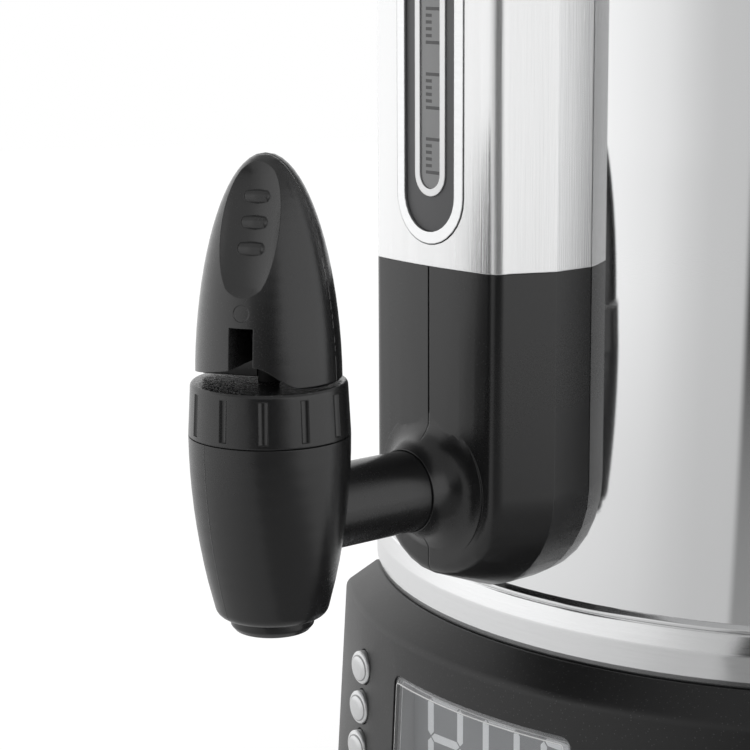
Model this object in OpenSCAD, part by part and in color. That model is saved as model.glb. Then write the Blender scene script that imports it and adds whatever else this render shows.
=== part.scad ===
// Hot water urn: a polished double-walled body on a moulded base with a control panel
// for the display and the buttons, a sight gauge column and a lever tap on a short arm.
// The front of the urn faces -Y. The origin is on the table, under the body's axis.

/* [Base] */
// Height of the rubber feet
foot_h = 6; // [4:0.5:12]
// Radius of one rubber foot
foot_r = 12; // [8:0.5:14]
// Gap between a foot and the screw boss beside it
foot_gap = 1.2; // [0.6:0.1:6]
// Number of feet
foot_count = 4; // [3:1:6]
// Height of the base, from its lower edge to the steel rim
base_h = 78; // [72:1:110]
// How far the round part of the base lies inside the steel rim
drum_inset = 0.8; // [0.4:0.1:2]
// Half of the angle that the control panel takes up at the front
panel_half = 38; // [36:0.5:44]
// Depth of the control panel's shoulder in front of the steel rim
shoulder_w = 9.6; // [8:0.1:14]
// Growth of the panel's radius from its shoulder to its lower edge
panel_flare = 4; // [2:0.5:8]
// Drop from the steel rim to the shoulder's corner
shoulder_drop = 6.6; // [4:0.1:9]
// Rounding of the shoulder
shoulder_round = 3.5; // [1:0.5:6]
// Wall thickness of the base
base_wall = 3; // [2.5:0.1:4]
// Thickness of the deck that carries the body
deck_t = 3.5; // [2.5:0.1:5]
// Width of the deck, inwards from the jacket
deck_land = 37; // [34:0.5:44]
// Thickness of the bottom plate
plate_t = 3; // [2:0.1:4]
// Number of vent slots in the bottom plate
vent_count = 12; // [6:1:16]
// Radius of the screws that hold the bottom plate
base_screw_r = 2; // [1.5:0.1:2.5]

/* [Display] */
// Width of the display lens
display_w = 70.4; // [60:0.2:76]
// Height of the display lens
display_h = 37; // [30:0.5:42]
// Drop from the steel rim to the display's middle
display_drop = 35.4; // [33:0.2:40]
// Corner radius of the lens
lens_round = 3; // [1:0.5:5]
// Thickness of the lens
lens_t = 2.4; // [1.5:0.1:2.8]
// How far the lens stands proud of the wall
lens_proud = 0.6; // [0.2:0.1:1]
// Depth of the display glass behind the wall's surface
lcd_depth = 11; // [9:0.5:16]
// Thickness of the display glass
lcd_t = 3; // [2:0.1:5]
// Wall of the frame that carries the display
carrier_wall = 2; // [1.5:0.1:3]
// Thickness of the circuit boards
board_t = 1.6; // [1:0.1:2]

/* [Buttons] */
// Diameter of a button's cap
button_d = 9.8; // [8:0.2:10]
// Spacing of the buttons
button_pitch = 12.1; // [12:0.1:13]
// Angle at which the buttons stand on the panel, towards the left
button_angle = 23; // [22:0.1:25]
// Direction that the buttons face, towards the left
button_aim = 10; // [0:1:22]
// Drop from the steel rim to the middle button
button_drop = 34; // [33:0.5:38]
// How far a cap stands proud of the wall, at its middle
button_proud = 2.4; // [1.5:0.1:3]
// Travel of a button
button_travel = 0.8; // [0.5:0.1:1.2]

/* [Body] */
// Outer radius of the outer jacket
jacket_r = 133; // [125:0.5:145]
// Sheet thickness of the jacket
jacket_t = 0.8; // [0.6:0.1:1.2]
// Height of the jacket above the steel rim's lower edge
jacket_h = 356; // [320:1:420]
// Thickness of the steel rim over the jacket
rim_t = 2.4; // [2:0.1:4]
// Height of the steel rim's band
rim_h = 14; // [12:0.5:18]
// Radius of the bead over the rim
rim_bead_r = 0.9; // [0.6:0.1:1.2]

/* [Tank] */
// Gap between the jacket and the tank
tank_gap = 10; // [8:0.5:14]
// Sheet thickness of the tank
tank_t = 1; // [0.8:0.1:1.5]
// Height of the tank's floor above the steel rim's lower edge
tank_floor_rise = 33; // [30:0.5:34]
// Corner radius of the tank's floor
tank_round = 14; // [8:1:18]
// Depth of the lip that the tank folds over the jacket
tank_lip = 6; // [4:0.5:10]
// Radius of the rods that tie the tank to the base
tie_r = 2.5; // [2:0.1:3]
// Distance of the tie rods from the tank's wall
tie_inset = 19.2; // [18:0.1:21]

/* [Heater] */
// Distance of the heat spreader's edge from the tank's wall
heater_inset = 40.2; // [34:0.1:50]
// Thickness of the heat spreader
heater_t = 9; // [7:0.5:11]
// Distance of the element's loop from the heat spreader's edge
element_inset = 24; // [12:0.5:30]
// Radius of the element's tube
element_r = 4; // [3:0.1:5]

/* [Column] */
// Depth of the column in front of the jacket
col_depth = 26.5; // [24:0.1:32]
// Half-width of the front face, with its corners
col_front_hw = 24.2; // [23:0.1:26]
// Rounding of the front corners
col_corner = 3.5; // [2:0.5:5]
// Half-width of the column at its widest
col_wide_hw = 29.4; // [28:0.1:32]
// Distance of the widest line behind the front face
col_taper = 17; // [14:0.1:20]
// Half-width of the column where it meets the jacket
col_rear_hw = 29; // [27:0.1:31]
// Wall of the plastic housings
col_wall = 2.5; // [2:0.1:3]
// Sheet thickness of the gauge cover
cover_t = 1; // [0.8:0.1:1.4]
// Height of the housing's upper edge above the steel rim's lower edge
col_split_rise = 105.7; // [100:0.1:112]
// Drop from the jacket's upper edge to the gauge cover's upper edge
cover_drop = 54.3; // [46:0.1:80]

/* [Gauge] */
// Half-width of the opening in the cover
gauge_hw = 12.8; // [12:0.1:14]
// Half-width of the dark panel
panel_hw = 9.5; // [9:0.1:10.5]
// Half-width of the window's ring
ring_hw = 5.8; // [5.4:0.1:7]
// Half-width of the window
window_hw = 3.8; // [3.4:0.1:4.6]
// Margin from the cover's edges to the opening
gauge_rise = 5.5; // [4:0.1:8]
// Margin from the opening's ends to the window
window_rise = 14.3; // [12:0.1:18]
// Radius of the sight tube
sight_r = 5; // [4:0.1:5.5]
// Distance of the sight tube's axis from the jacket
sight_stand = 13; // [12:0.1:14]

/* [Tap] */
// Distance of the tap's axis from the column's front face
tap_reach = 52.1; // [46:0.1:66]
// Height of the arm's axis above the steel rim's lower edge
arm_rise = 47.5; // [44:0.1:52]
// Radius of the arm
arm_r = 10.6; // [10:0.1:11]
// Radius of the waterway
water_r = 6.5; // [5:0.1:7]
// Length of the trumpet collar on the housing
collar_len = 8.1; // [6:0.1:11]
// Radius of the collar's foot on the housing's face
collar_foot_r = 19.5; // [17:0.5:20.5]
// Thickness of the collar at its end on the arm
collar_lip = 0.5; // [0.4:0.1:1.5]
// Radius of the barrel at its upper edge
barrel_r = 20; // [19.5:0.1:22]
// Height of the barrel's upper edge above the arm's axis
barrel_up = 22; // [20:0.1:25]
// Depth of the barrel's lower edge below the arm's axis
barrel_down = 24.2; // [23:0.1:28]
// Loss of radius from the barrel's upper edge to its lower edge
barrel_taper = 6.4; // [5:0.1:7]
// Rounding of the barrel's lower edge
barrel_round = 3.2; // [1:0.1:3.6]
// Radius of the nozzle
nozzle_r = 10.4; // [9.8:0.1:10.6]
// Length of the nozzle under the barrel
nozzle_len = 3.5; // [3:0.1:10]
// Height of the fluted bonnet
bonnet_h = 13.3; // [12:0.1:16]
// Loss of radius over the bonnet's height
bonnet_taper = 0.7; // [0.3:0.1:1.2]
// Number of flutes on the bonnet
flute_count = 12; // [8:1:18]
// Radius of one flute
flute_r = 1.4; // [1:0.1:1.8]

/* [Lever] */
// Turn of the lever from the arm's direction
lever_turn = 30; // [0:1:60]
// Height of the lever
lever_h = 55; // [50:0.5:62]
// Radius of the lever's foot
lever_r = 18; // [17.5:0.1:18.5]
// Gap under the lever
lever_gap = 0.6; // [0.5:0.1:0.8]
// Width of the slot for the stem
slot_w = 6.2; // [6:0.1:7]
// Height of the slot
slot_h = 14.9; // [14:0.1:16]
// Rise of the relief in the lever's foot, on the right of the slot
arch_h = 5.7; // [5:0.1:6.2]
// Rise of the relief on the left of the slot
arch_left_h = 4.6; // [4:0.1:5.2]
// Rise that is left of the relief at the lever's left edge
arch_edge_h = 1.7; // [1.2:0.1:3]
// Reach of the relief to the right
arch_hw = 14.5; // [13:0.1:15]
// Radius of the thumb dish across the lever
dish_r = 13; // [11:0.1:16]
// Depth of the thumb dish's floor under the line between its ends
dish_depth = 2.2; // [1:0.1:2.6]
// Height of the pin above the lever's foot
pin_rise = 10; // [9.5:0.1:10.5]
// Radius of the pin
pin_r = 1.5; // [1.2:0.1:1.8]

/* [Valve] */
// Radius of the stem
stem_r = 2.6; // [2.4:0.1:2.7]
// Radius of the spring's coil
spring_r = 5; // [4.5:0.1:5.6]
// Radius of the spring's wire
wire_r = 0.6; // [0.4:0.05:0.7]
// Number of turns in the spring
spring_turns = 8; // [6:1:10]

/* [Lid] */
// Height of the lid's dome
lid_dome_h = 20; // [14:0.5:30]
// Sheet thickness of the lid
lid_t = 1; // [0.8:0.1:1.5]
// Depth of the lid's plug in the tank
lid_plug = 9; // [6:0.5:14]
// Radius of the knob's head
knob_r = 23; // [18:0.5:28]
// Height of the knob
knob_h = 30; // [24:0.5:38]

/* [Handles] */
// Drop from the jacket's upper edge to the handles
handle_drop = 60; // [45:1:110]
// Reach of a handle from the jacket
handle_reach = 44; // [40:0.5:52]
// Distance between a handle's two feet
handle_span = 104; // [96:1:120]
// Thickness of a handle's grip
grip_t = 15; // [12:0.5:18]
// Height of a handle's grip
grip_h = 25; // [20:0.5:30]
// Rounding of a handle's bends
handle_bend = 20; // [16:0.5:24]

/* [Hidden] */
// Clearances: fixed pieces, moving pieces, and a shaft running in its hole
fit_gap = 0.1;
move_gap = 0.3;
run_gap = 0.06;
// Length by which a cutter runs past what it cuts
past = 1;
// Fineness of large, middling and small round pieces
round_fn = 256;
fine = 128;
mid_fn = 64;
small_fn = 32;
// Fineness of the lofted housings
loft_fn = 32;

// Heights above the table
rim_z = foot_h + base_h;
plate_top_z = foot_h + plate_t;
shoulder_z = rim_z - shoulder_drop;
deck_under_z = rim_z - deck_t;
display_z = rim_z - display_drop;
button_z = rim_z - button_drop;
jacket_top_z = rim_z + jacket_h;
tank_floor_z = rim_z + tank_floor_rise;
arm_z = rim_z + arm_rise;
split_z = rim_z + col_split_rise;
cover_top_z = jacket_top_z - cover_drop;
barrel_top_z = arm_z + barrel_up;
barrel_low_z = arm_z - barrel_down;
bonnet_low_z = barrel_top_z + fit_gap;
bonnet_top_z = bonnet_low_z + bonnet_h;
lever_z = bonnet_top_z + lever_gap;
pin_z = lever_z + pin_rise;
handle_z = jacket_top_z - handle_drop;

// Radii of the base, and distances of the column and the tap from the body's axis
rim_r = jacket_r + rim_t;
drum_r = rim_r - drum_inset;
drum_in_r = drum_r - base_wall;
base_shoulder_r = rim_r + shoulder_w;
base_foot_r = base_shoulder_r + panel_flare;
deck_bore_r = jacket_r - deck_land;
col_front_r = jacket_r + col_depth;
col_wide_y = col_front_r - col_taper;
col_back_y = jacket_r - 15;
sight_y = jacket_r + sight_stand;
tap_y = col_front_r + tap_reach;

// Radii of the tank and of the lid over it
tank_r = jacket_r - jacket_t - tank_gap;
tank_inner_r = tank_r - tank_t;
tie_circle_r = tank_r - tie_inset;
heater_r = tank_r - heater_inset;
element_loop_r = heater_r - element_inset;
lip_r = jacket_r + fit_gap + tank_t;
lip_z = jacket_top_z + fit_gap + tank_t;
gasket_t = 2;
plug_r = tank_inner_r - move_gap - gasket_t;

// Gauge opening and its inner outlines, as lower and upper ends
gauge_low = split_z + gauge_rise;
gauge_high = cover_top_z - gauge_rise;
panel_low = gauge_low + gauge_hw - panel_hw;
panel_high = gauge_high - gauge_hw + panel_hw;
window_low = gauge_low + window_rise;
window_high = gauge_high - window_rise;
ring_low = window_low - ring_hw + window_hw;
ring_high = window_high + ring_hw - window_hw;
bezel_t = 2.2;
bezel_proud = 0.2;
panel_t = 1.6;
panel_sink = 0.7;
ring_proud = 0.4;

// Places of the display behind its lens, measured from the body's axis
lens_mid_r = base_r(display_z);
lens_reach = lcd_depth + lcd_t + 2 * past;
lcd_y = lens_mid_r - lcd_depth;
lcd_margin = 0.6;

// Angles of the control panel's hollow and of the bottom plate under it
panel_inner_half = panel_half - atan(base_wall / drum_r);
plate_half = panel_inner_half - atan(move_gap / drum_in_r);
inner_shoulder_z = shoulder_z - 2;

// Buttons: a flange behind the wall, a switch behind the flange, a board behind the switch
button_gap = 0.7;
button_hole_gap = 0.4;
button_flange = (button_pitch - button_d - button_gap) / 2;
button_flange_t = 1.2;
button_tilt = button_angle - button_aim;
button_back = base_wall / cos(button_tilt) + move_gap
  + (button_d / 2 + button_flange) * (tan(button_tilt) + panel_flare / (shoulder_z - foot_h));
button_tail = button_back + button_flange_t + 0.5;
switch_h = 4.7;
board_back = button_tail + button_travel + switch_h;
board_boss_r = 3.2;
board_edge = 1.2 * board_boss_r;
board_screw_rise = 1.5 * button_pitch + board_boss_r + 2 * move_gap;

// Water parts behind the tap
manifold_r = arm_r + 3;
manifold_rear = jacket_r + 3;
manifold_front = sqrt(pow(col_front_r - col_wall, 2) - pow(manifold_r, 2)) - move_gap;
socket_len = 5;
sight_wall = 1.2;
seal_t = 1.6;
seal_h = 7;
sight_low_z = arm_z + manifold_r + 18;
sight_high_z = cover_top_z - 4;
sight_cup_h = 8;
stub_r = water_r + 2.5;
stub_front = manifold_rear + 3;
jacket_hole_r = stub_r + 5;
outlet_flange = 4;

// Rail that carries the column
rail_hw = 20;
rail_t = 2;
rail_screw_r = 2;
rail_screw_z = [split_z + 14, cover_top_z - 24];
rail_shelf_hw = 8;

// Valve heights and radii
seat_z = barrel_low_z + 5.5;
seat_plate_t = 4;
cup_flange_t = 1.4;
collar_t = 2;
washer_t = 1.2;
washer_r = spring_r + 2;
bonnet_plate_t = 5.8;
spigot_h = 7;
spigot_r = 15.4;
spigot_wall = 3;
chamber_r = 12.2;
chamber_step = 1.6;
cup_r = spring_r + wire_r + 1.4;
cup_wall = 1.2;
plug_z = seat_z + 8;
collar_z = plug_z + 1.2;
spring_low = collar_z + collar_t;
spring_high = bonnet_top_z - bonnet_plate_t - washer_t - fit_gap;
nozzle_spigot_r = water_r + 1.6;
seal_w = 2;
pin_len = 2 * lever_r - 8;

// Screws and small fittings
boss_r = base_screw_r + 2.4;
boss_circle_r = drum_in_r - boss_r - 4;
foot_circle_r = boss_circle_r - boss_r - foot_r - foot_gap;
foot_plug_r = foot_r / 2.4;
screw_head_r = 2 * base_screw_r - 0.2;
screw_head_h = 2;
screw_len = plate_t + 14;
screw_count = 4;
first_angle = 45;
tie_count = 3;
tie_angle = 60;
gland_bore_r = 4;
gland_r = 12.5;
gland_z = foot_h + 26;
gland_pad = 1.4;
gland_nut_t = 5;
gland_in = drum_in_r - 9;
gland_nose = 9;
handle_screw_r = 2.5;
handle_root = 22;
pad_t = 5;

// Furniture of the bottom plate
rib_radii = [46, 84];
rib_t = 2;
rib_h = 5;
vent_len = 20;
vent_w = 4;
board_post_x = 38;
board_post_y = 20;
board_post_step = 56;
board_post_h = 9;
board_post_r = 3.5;

plastic = "#2c2c2e";
steel = "#c8cacc";
polished = "#dcdee0";
board_green = "#2f5d3a";

// Geometry helpers

function unit(v) = v / norm(v);

// Points of one rounded corner p between its neighbours a and b
function corner(p, a, b, r, n) =
  r <= 0 ? [p] :
  let(u = unit(a - p), v = unit(b - p))
  let(half = acos(max(-1, min(1, u * v))) / 2)
  let(c = p + unit(u + v) * r / sin(half))
  let(s = p + u * r / tan(half) - c, e = p + v * r / tan(half) - c)
  let(start = atan2(s.y, s.x), turn = atan2(s.x * e.y - s.y * e.x, s * e))
  [for (i = [0:n]) c + r * [cos(start + turn * i / n), sin(start + turn * i / n)]];

// Closed outline from points [x, y, corner radius]
function rounded(points, n = 6) =
  let(k = len(points), flat = [for (p = points) [p.x, p.y]])
  [for (i = [0:k - 1])
    each corner(flat[i], flat[(i + k - 1) % k], flat[(i + 1) % k], points[i][2], n)];

function box_outline(w, h, r) =
  rounded([[-w / 2, -h / 2, r], [w / 2, -h / 2, r], [w / 2, h / 2, r], [-w / 2, h / 2, r]]);

// Upright slot with round ends, from height low to height high
function slot_outline(hw, low, high, n = 16) = concat(
  [for (i = [0:n]) [hw * cos(180 * i / n), high - hw + hw * sin(180 * i / n)]],
  [for (i = [0:n]) [-hw * cos(180 * i / n), low + hw - hw * sin(180 * i / n)]]);

module revolve(points, steps = fine) {
  rotate_extrude($fn = steps) polygon(points);
}

// Wedge of a ring, as wide as an angle to each side of the front
module front_sector(points, half) {
  rotate([0, 0, -90 - half]) rotate_extrude(angle = 2 * half, $fn = round_fn) polygon(points);
}

// Turns to an angle about the body's axis, where 0 is the front and right is positive
module around(angle) {
  rotate([0, 0, angle]) children();
}

// Repeats its children evenly round the body's axis
module ring_of(count, start, r) {
  for (i = [0:count - 1]) {
    around(start + i * 360 / count) translate([0, -r, 0]) children();
  }
}

// Extrudes a front-view outline [x, z] between two distances in front of the axis
module front_prism(points, near, far) {
  translate([0, -near, 0]) rotate([90, 0, 0]) linear_extrude(far - near) polygon(points);
}

// Cylinder along the front direction, between two distances in front of the axis
module front_rod(r, near, far, z, steps = mid_fn) {
  translate([0, -near, z]) rotate([90, 0, 0]) cylinder(r = r, h = far - near, $fn = steps);
}

// Cylinder between two heights
module post(r, low, high, steps = mid_fn) {
  translate([0, 0, low]) cylinder(r = r, h = high - low, $fn = steps);
}

module tap_axis() {
  translate([0, -tap_y, 0]) children();
}

module lever_axis() {
  tap_axis() rotate([0, 0, lever_turn]) children();
}

// Clears the jacket from whatever sits on it
module off_jacket(low, high) {
  post(jacket_r + fit_gap, low, high, round_fn);
}

// Base

// Outer radius of the control panel's wall at a height
function base_r(z) = base_shoulder_r + panel_flare * (shoulder_z - z) / (shoulder_z - foot_h);

// Solid cone that runs at a distance outside the panel's wall, past the display
module wall_cone(outside) {
  low = display_z - display_h;
  high = display_z + display_h;
  translate([0, 0, low])
    cylinder(r1 = base_r(low) + outside, r2 = base_r(high) + outside, h = high - low, $fn = round_fn);
}

module display_prism(grow, near, far) {
  outline = box_outline(display_w + 2 * grow, display_h + 2 * grow,
    lens_round + max(grow, 0.2 - lens_round));
  front_prism([for (p = outline) p + [0, display_z]], near, far);
}

// Frame of a button: z along the button, outwards from the wall's surface
module at_button(rise) {
  z = button_z + rise;
  around(-button_angle) translate([0, -base_r(z), z])
    rotate([0, 0, button_tilt]) rotate([90, 0, 0]) children();
}

// How far the wall's surface stands in front of that at the middle button, along a button
function wall_step(rise) = (base_r(button_z + rise) - base_r(button_z)) * cos(button_tilt);

// Frame on the board's front face, at a height from the middle button, z outwards
module on_board(rise) {
  at_button(0) translate([0, rise, -board_back]) children();
}

module base_drum() {
  revolve(rounded([
    [drum_r, foot_h, 1], [drum_r, rim_z, 0.6], [deck_bore_r, rim_z, 0.8],
    [deck_bore_r, deck_under_z, 0.8], [drum_in_r, deck_under_z, 2], [drum_in_r, foot_h, 0.4]]),
    round_fn);
}

module control_panel() {
  front_sector(rounded([
    [drum_r - base_wall / 2, foot_h, 0], [base_foot_r, foot_h, 1],
    [base_shoulder_r, shoulder_z, shoulder_round], [rim_r + move_gap, rim_z, 0.4],
    [drum_r - base_wall / 2, rim_z, 0]]), panel_half);
}

module panel_hollow() {
  low = foot_h - past;
  front_sector(rounded([
    [drum_in_r - base_wall, low, 0], [base_r(low) - base_wall, low, 0],
    [base_r(inner_shoulder_z) - base_wall, inner_shoulder_z, 2], [rim_r - past, deck_under_z, 1],
    [drum_in_r - base_wall, deck_under_z, 0]]), panel_inner_half);
}

module base_bosses() {
  ring_of(screw_count, first_angle, boss_circle_r) post(boss_r, plate_top_z, deck_under_z + past, small_fn);
  for (end = [-1, 1]) {
    rise = end * board_screw_rise;
    on_board(rise) post(board_boss_r, fit_gap, board_back + wall_step(rise) - base_wall / 2, small_fn);
  }
  around(180) front_rod(gland_r + 5, drum_in_r - gland_pad, drum_r + gland_pad, gland_z);
}

module base_shell() {
  color(plastic) difference() {
    union() {
      difference() {
        union() {
          base_drum();
          control_panel();
        }
        panel_hollow();
      }
      base_bosses();
    }
    display_prism(fit_gap, lens_mid_r - lens_reach, lens_mid_r + lens_reach);
    for (i = [-1:1]) {
      at_button(i * button_pitch)
        post(button_d / 2 + button_hole_gap, -button_back, button_back, 48);
    }
    around(180) front_rod(gland_r + fit_gap, drum_in_r - 4 * gland_pad, drum_r + 4 * gland_pad, gland_z);
    ring_of(tie_count, 180 + tie_angle, tie_circle_r)
      post(tie_r + move_gap, deck_under_z - past, rim_z + past, small_fn);
    ring_of(screw_count, first_angle, boss_circle_r)
      post(base_screw_r + fit_gap, foot_h, foot_h + screw_len + 2, small_fn);
  }
}

// Outline of the bottom plate: a disc with a wedge under the control panel
module plate_outline() {
  steps = 24;
  reach = base_r(plate_top_z) - base_wall - move_gap;
  circle(r = drum_in_r - move_gap, $fn = round_fn);
  polygon(concat([[0, 0]], [for (i = [0:steps])
    let(a = -90 + plate_half * (2 * i / steps - 1)) reach * [cos(a), sin(a)]]));
}

module base_plate() {
  color(plastic) difference() {
    union() {
      translate([0, 0, foot_h]) linear_extrude(plate_t) plate_outline();
      for (r = rib_radii) {
        difference() {
          post(r + rib_t / 2, plate_top_z - past, plate_top_z + rib_h, fine);
          post(r - rib_t / 2, plate_top_z - 2 * past, plate_top_z + rib_h + past, fine);
        }
      }
      for (x = [-1, 1], y = [0, 1]) {
        translate([x * board_post_x, board_post_y + y * board_post_step, 0])
          post(board_post_r, plate_top_z - past, plate_top_z + board_post_h, small_fn);
      }
    }
    for (i = [0:vent_count - 1]) {
      rotate([0, 0, i * 360 / vent_count]) translate([rib_radii[0] + 10, -vent_w / 2, foot_h - past])
        cube([vent_len, vent_w, plate_t + 2 * past]);
    }
    ring_of(foot_count, first_angle, foot_circle_r)
      post(foot_plug_r, foot_h - past, plate_top_z + past, small_fn);
    ring_of(screw_count, first_angle, boss_circle_r) {
      post(base_screw_r + fit_gap, foot_h - past, plate_top_z + past, small_fn);
      post(screw_head_r + move_gap, foot_h - past, foot_h + screw_head_h * 0.6, small_fn);
    }
  }
}

module rubber_feet() {
  neck_r = foot_plug_r - fit_gap;
  barb_z = plate_top_z + 0.6;
  color("#1d1d1f") ring_of(foot_count, first_angle, foot_circle_r)
    revolve(rounded([[0, 0, 0], [foot_r - 1.5, 0, 1.2], [foot_r, foot_h - fit_gap, 0.6],
      [neck_r, foot_h - fit_gap, 0], [neck_r, barb_z, 0.4], [foot_plug_r + 1, barb_z, 0.3],
      [foot_plug_r - 0.6, barb_z + 2.4, 0.4], [0, barb_z + 2.4, 0]]), 48);
}

module base_screws() {
  cross_w = 0.8;
  color("silver") ring_of(screw_count, first_angle, boss_circle_r)
    translate([0, 0, foot_h - screw_head_h * 0.4]) difference() {
      revolve(rounded([[0, 0, 0], [screw_head_r, 0, 0.6], [screw_head_r, screw_head_h, 0],
        [base_screw_r, screw_head_h, 0], [base_screw_r, screw_len - past, 0.6], [0, screw_len, 0]]),
        small_fn);
      for (a = [0, 90]) {
        rotate([0, 0, a]) translate([-base_screw_r, -cross_w / 2, -past])
          cube([2 * base_screw_r, cross_w, past + 0.9]);
      }
    }
}

// Display and buttons

module display_lens() {
  color("#7d8186", 0.5) intersection() {
    difference() {
      wall_cone(lens_proud);
      wall_cone(lens_proud - lens_t);
    }
    display_prism(0, lens_mid_r - lens_reach, lens_mid_r + lens_reach);
  }
}

module display_carrier() {
  far = lens_mid_r + lens_reach;
  back = lcd_y - lcd_t;
  color(plastic) difference() {
    union() {
      intersection() {
        display_prism(carrier_wall, back, far);
        wall_cone(-base_wall - fit_gap);
      }
      intersection() {
        display_prism(-fit_gap, lcd_y, far);
        wall_cone(lens_proud - lens_t - fit_gap);
      }
    }
    display_prism(-carrier_wall, back - past, far + past);
    display_prism(fit_gap - lcd_margin, back - past, lcd_y + fit_gap);
  }
}

module lcd_glass() {
  color("#5a5d60") display_prism(-lcd_margin, lcd_y - lcd_t, lcd_y);
}

module display_board() {
  y = lcd_y - lcd_t - fit_gap;
  outline = box_outline(display_w + 4 * carrier_wall, display_h + 3 * carrier_wall, 2);
  color(board_green) front_prism([for (p = outline) p + [0, display_z]], y - board_t, y);
}

module button(rise) {
  r = button_d / 2;
  edge = button_proud - 0.8;
  pusher_r = 2.2;
  color("#b9bcc0") at_button(rise) revolve(rounded([
    [0, button_proud + 0.5, 0], [r * 0.55, button_proud + 0.3, 3], [r, edge, 0.8], [r, -button_back, 0],
    [r + button_flange, -button_back, 0], [r + button_flange, -button_back - button_flange_t, 0.3],
    [pusher_r, -button_back - button_flange_t, 0], [pusher_r, -button_tail, 0.2],
    [0, -button_tail, 0]]), 48);
}

module button_upper() {
  button(button_pitch);
}

module button_middle() {
  button(0);
}

module button_lower() {
  button(-button_pitch);
}

module button_board() {
  color(board_green) difference() {
    on_board(0) translate([0, 0, -board_t]) linear_extrude(board_t)
      polygon(box_outline(1.8 * button_d, 2 * (board_screw_rise + board_edge), 2));
    for (end = [-1, 1]) {
      on_board(end * board_screw_rise) post(board_boss_r / 2.5, -board_t - past, past, small_fn);
    }
  }
}

// Each switch stops short of its button by the button's travel
module tact_switches() {
  body_w = 6;
  plunger_r = 1.7;
  plunger_h = 1.4;
  color("#3c3c3e") for (i = [-1:1]) {
    rise = i * button_pitch;
    reach = switch_h + wall_step(rise) - 2 * move_gap;
    on_board(rise) translate([0, 0, fit_gap]) {
      translate([-body_w / 2, -body_w / 2, 0]) cube([body_w, body_w, reach - plunger_h]);
      cylinder(r = plunger_r, h = reach, $fn = small_fn);
    }
  }
}

// Electrics in the base

module control_board() {
  seat = board_t - 0.2;
  color(board_green)
    translate([0, board_post_y + board_post_step / 2, plate_top_z + board_post_h + fit_gap]) {
      linear_extrude(board_t)
        polygon(box_outline(2 * board_post_x + 12, board_post_step + 12, 3));
      // Relay, transformer, capacitor and heat sink, as [x, y, width, depth, height]
      for (b = [[-34, -20, 19, 15.5, 16], [-34, 4, 24, 20, 19], [8, 8, 24, 3, 20]]) {
        translate([b[0], b[1], seat]) cube([b[2], b[3], b[4]]);
      }
      translate([14, -16, 0]) post(6, seat, 18, small_fn);
    }
}

module terminal_block() {
  w = 16;
  h = 15;
  pole = 11;
  poles = 4;
  wire_hole_r = 2;
  screw_hole_r = 2.6;
  color("#d9d6c8")
    translate([-(rib_radii[0] + rib_radii[1] + w) / 2, -poles * pole / 2, plate_top_z + fit_gap])
    difference() {
      cube([w, poles * pole, h]);
      for (i = [0:poles - 1]) {
        translate([w / 2, (i + 0.5) * pole, 0]) {
          post(screw_hole_r, h * 0.4, h + past, small_fn);
          translate([-w / 2 - past, 0, h * 0.27]) rotate([0, 90, 0])
            cylinder(r = wire_hole_r, h = w + 2 * past, $fn = small_fn);
        }
      }
    }
}

module mains_gland() {
  seat = drum_r + gland_pad + fit_gap;
  color(plastic) around(180) difference() {
    union() {
      front_rod(gland_r, gland_in, seat + past, gland_z);
      translate([0, -seat, gland_z]) rotate([90, 0, 0])
        revolve(rounded([[0, 0, 0], [gland_r + 4, 0, 0.4], [gland_r + 3, 4, 1.2], [gland_r, 5, 1.5],
          [gland_bore_r + 4, gland_nose, 1], [0, gland_nose, 0]]), 48);
    }
    front_rod(gland_bore_r, gland_in - past, seat + gland_nose + past, gland_z, 48);
  }
}

module gland_nut() {
  face = drum_in_r - gland_pad - fit_gap;
  color(plastic) around(180) difference() {
    front_rod(gland_r + 4.5, face - gland_nut_t, face, gland_z, 6);
    front_rod(gland_r + fit_gap, face - gland_nut_t - past, face + past, gland_z);
  }
}

// Body

module bottom_rim() {
  in_r = jacket_r + fit_gap;
  bead_r = in_r + 0.7 + rim_bead_r;
  top = rim_z + rim_h;
  color(steel) revolve(rounded([
    [in_r, rim_z, 0], [rim_r - 0.5, rim_z, 0.6], [rim_r, rim_z + 2, 0.6], [rim_r, rim_z + rim_h * 0.62, 6],
    [rim_r - 0.9, top, 0.3], [in_r + 0.7, top + 0.2, 0.2], [bead_r, top + 0.5, 0.4],
    [bead_r, top + 1.5, 0.5], [in_r, top + 2.4, 0]]), round_fn);
}

// Rods along the handles' four screws, between two distances from the middle plane
module handle_bolts(grow, near, far) {
  for (side = [-1, 1], end = [-1, 1]) {
    translate([side * near, end * handle_span / 2, handle_z]) rotate([0, side * 90, 0])
      cylinder(r = handle_screw_r + grow, h = far - near, $fn = small_fn);
  }
}

module rail_holes(near, far) {
  for (z = rail_screw_z) front_rod(rail_screw_r + fit_gap, near, far, z, small_fn);
}

module outer_jacket() {
  in_r = jacket_r - jacket_t;
  low = rim_z + fit_gap;
  color(polished) difference() {
    revolve([[in_r, low], [jacket_r, low], [jacket_r, jacket_top_z], [in_r, jacket_top_z]], round_fn);
    front_rod(jacket_hole_r, tank_r, jacket_r + past, arm_z);
    handle_bolts(fit_gap, tank_r / 2, jacket_r + past);
    rail_holes(tank_r, jacket_r + past);
  }
}

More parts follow.
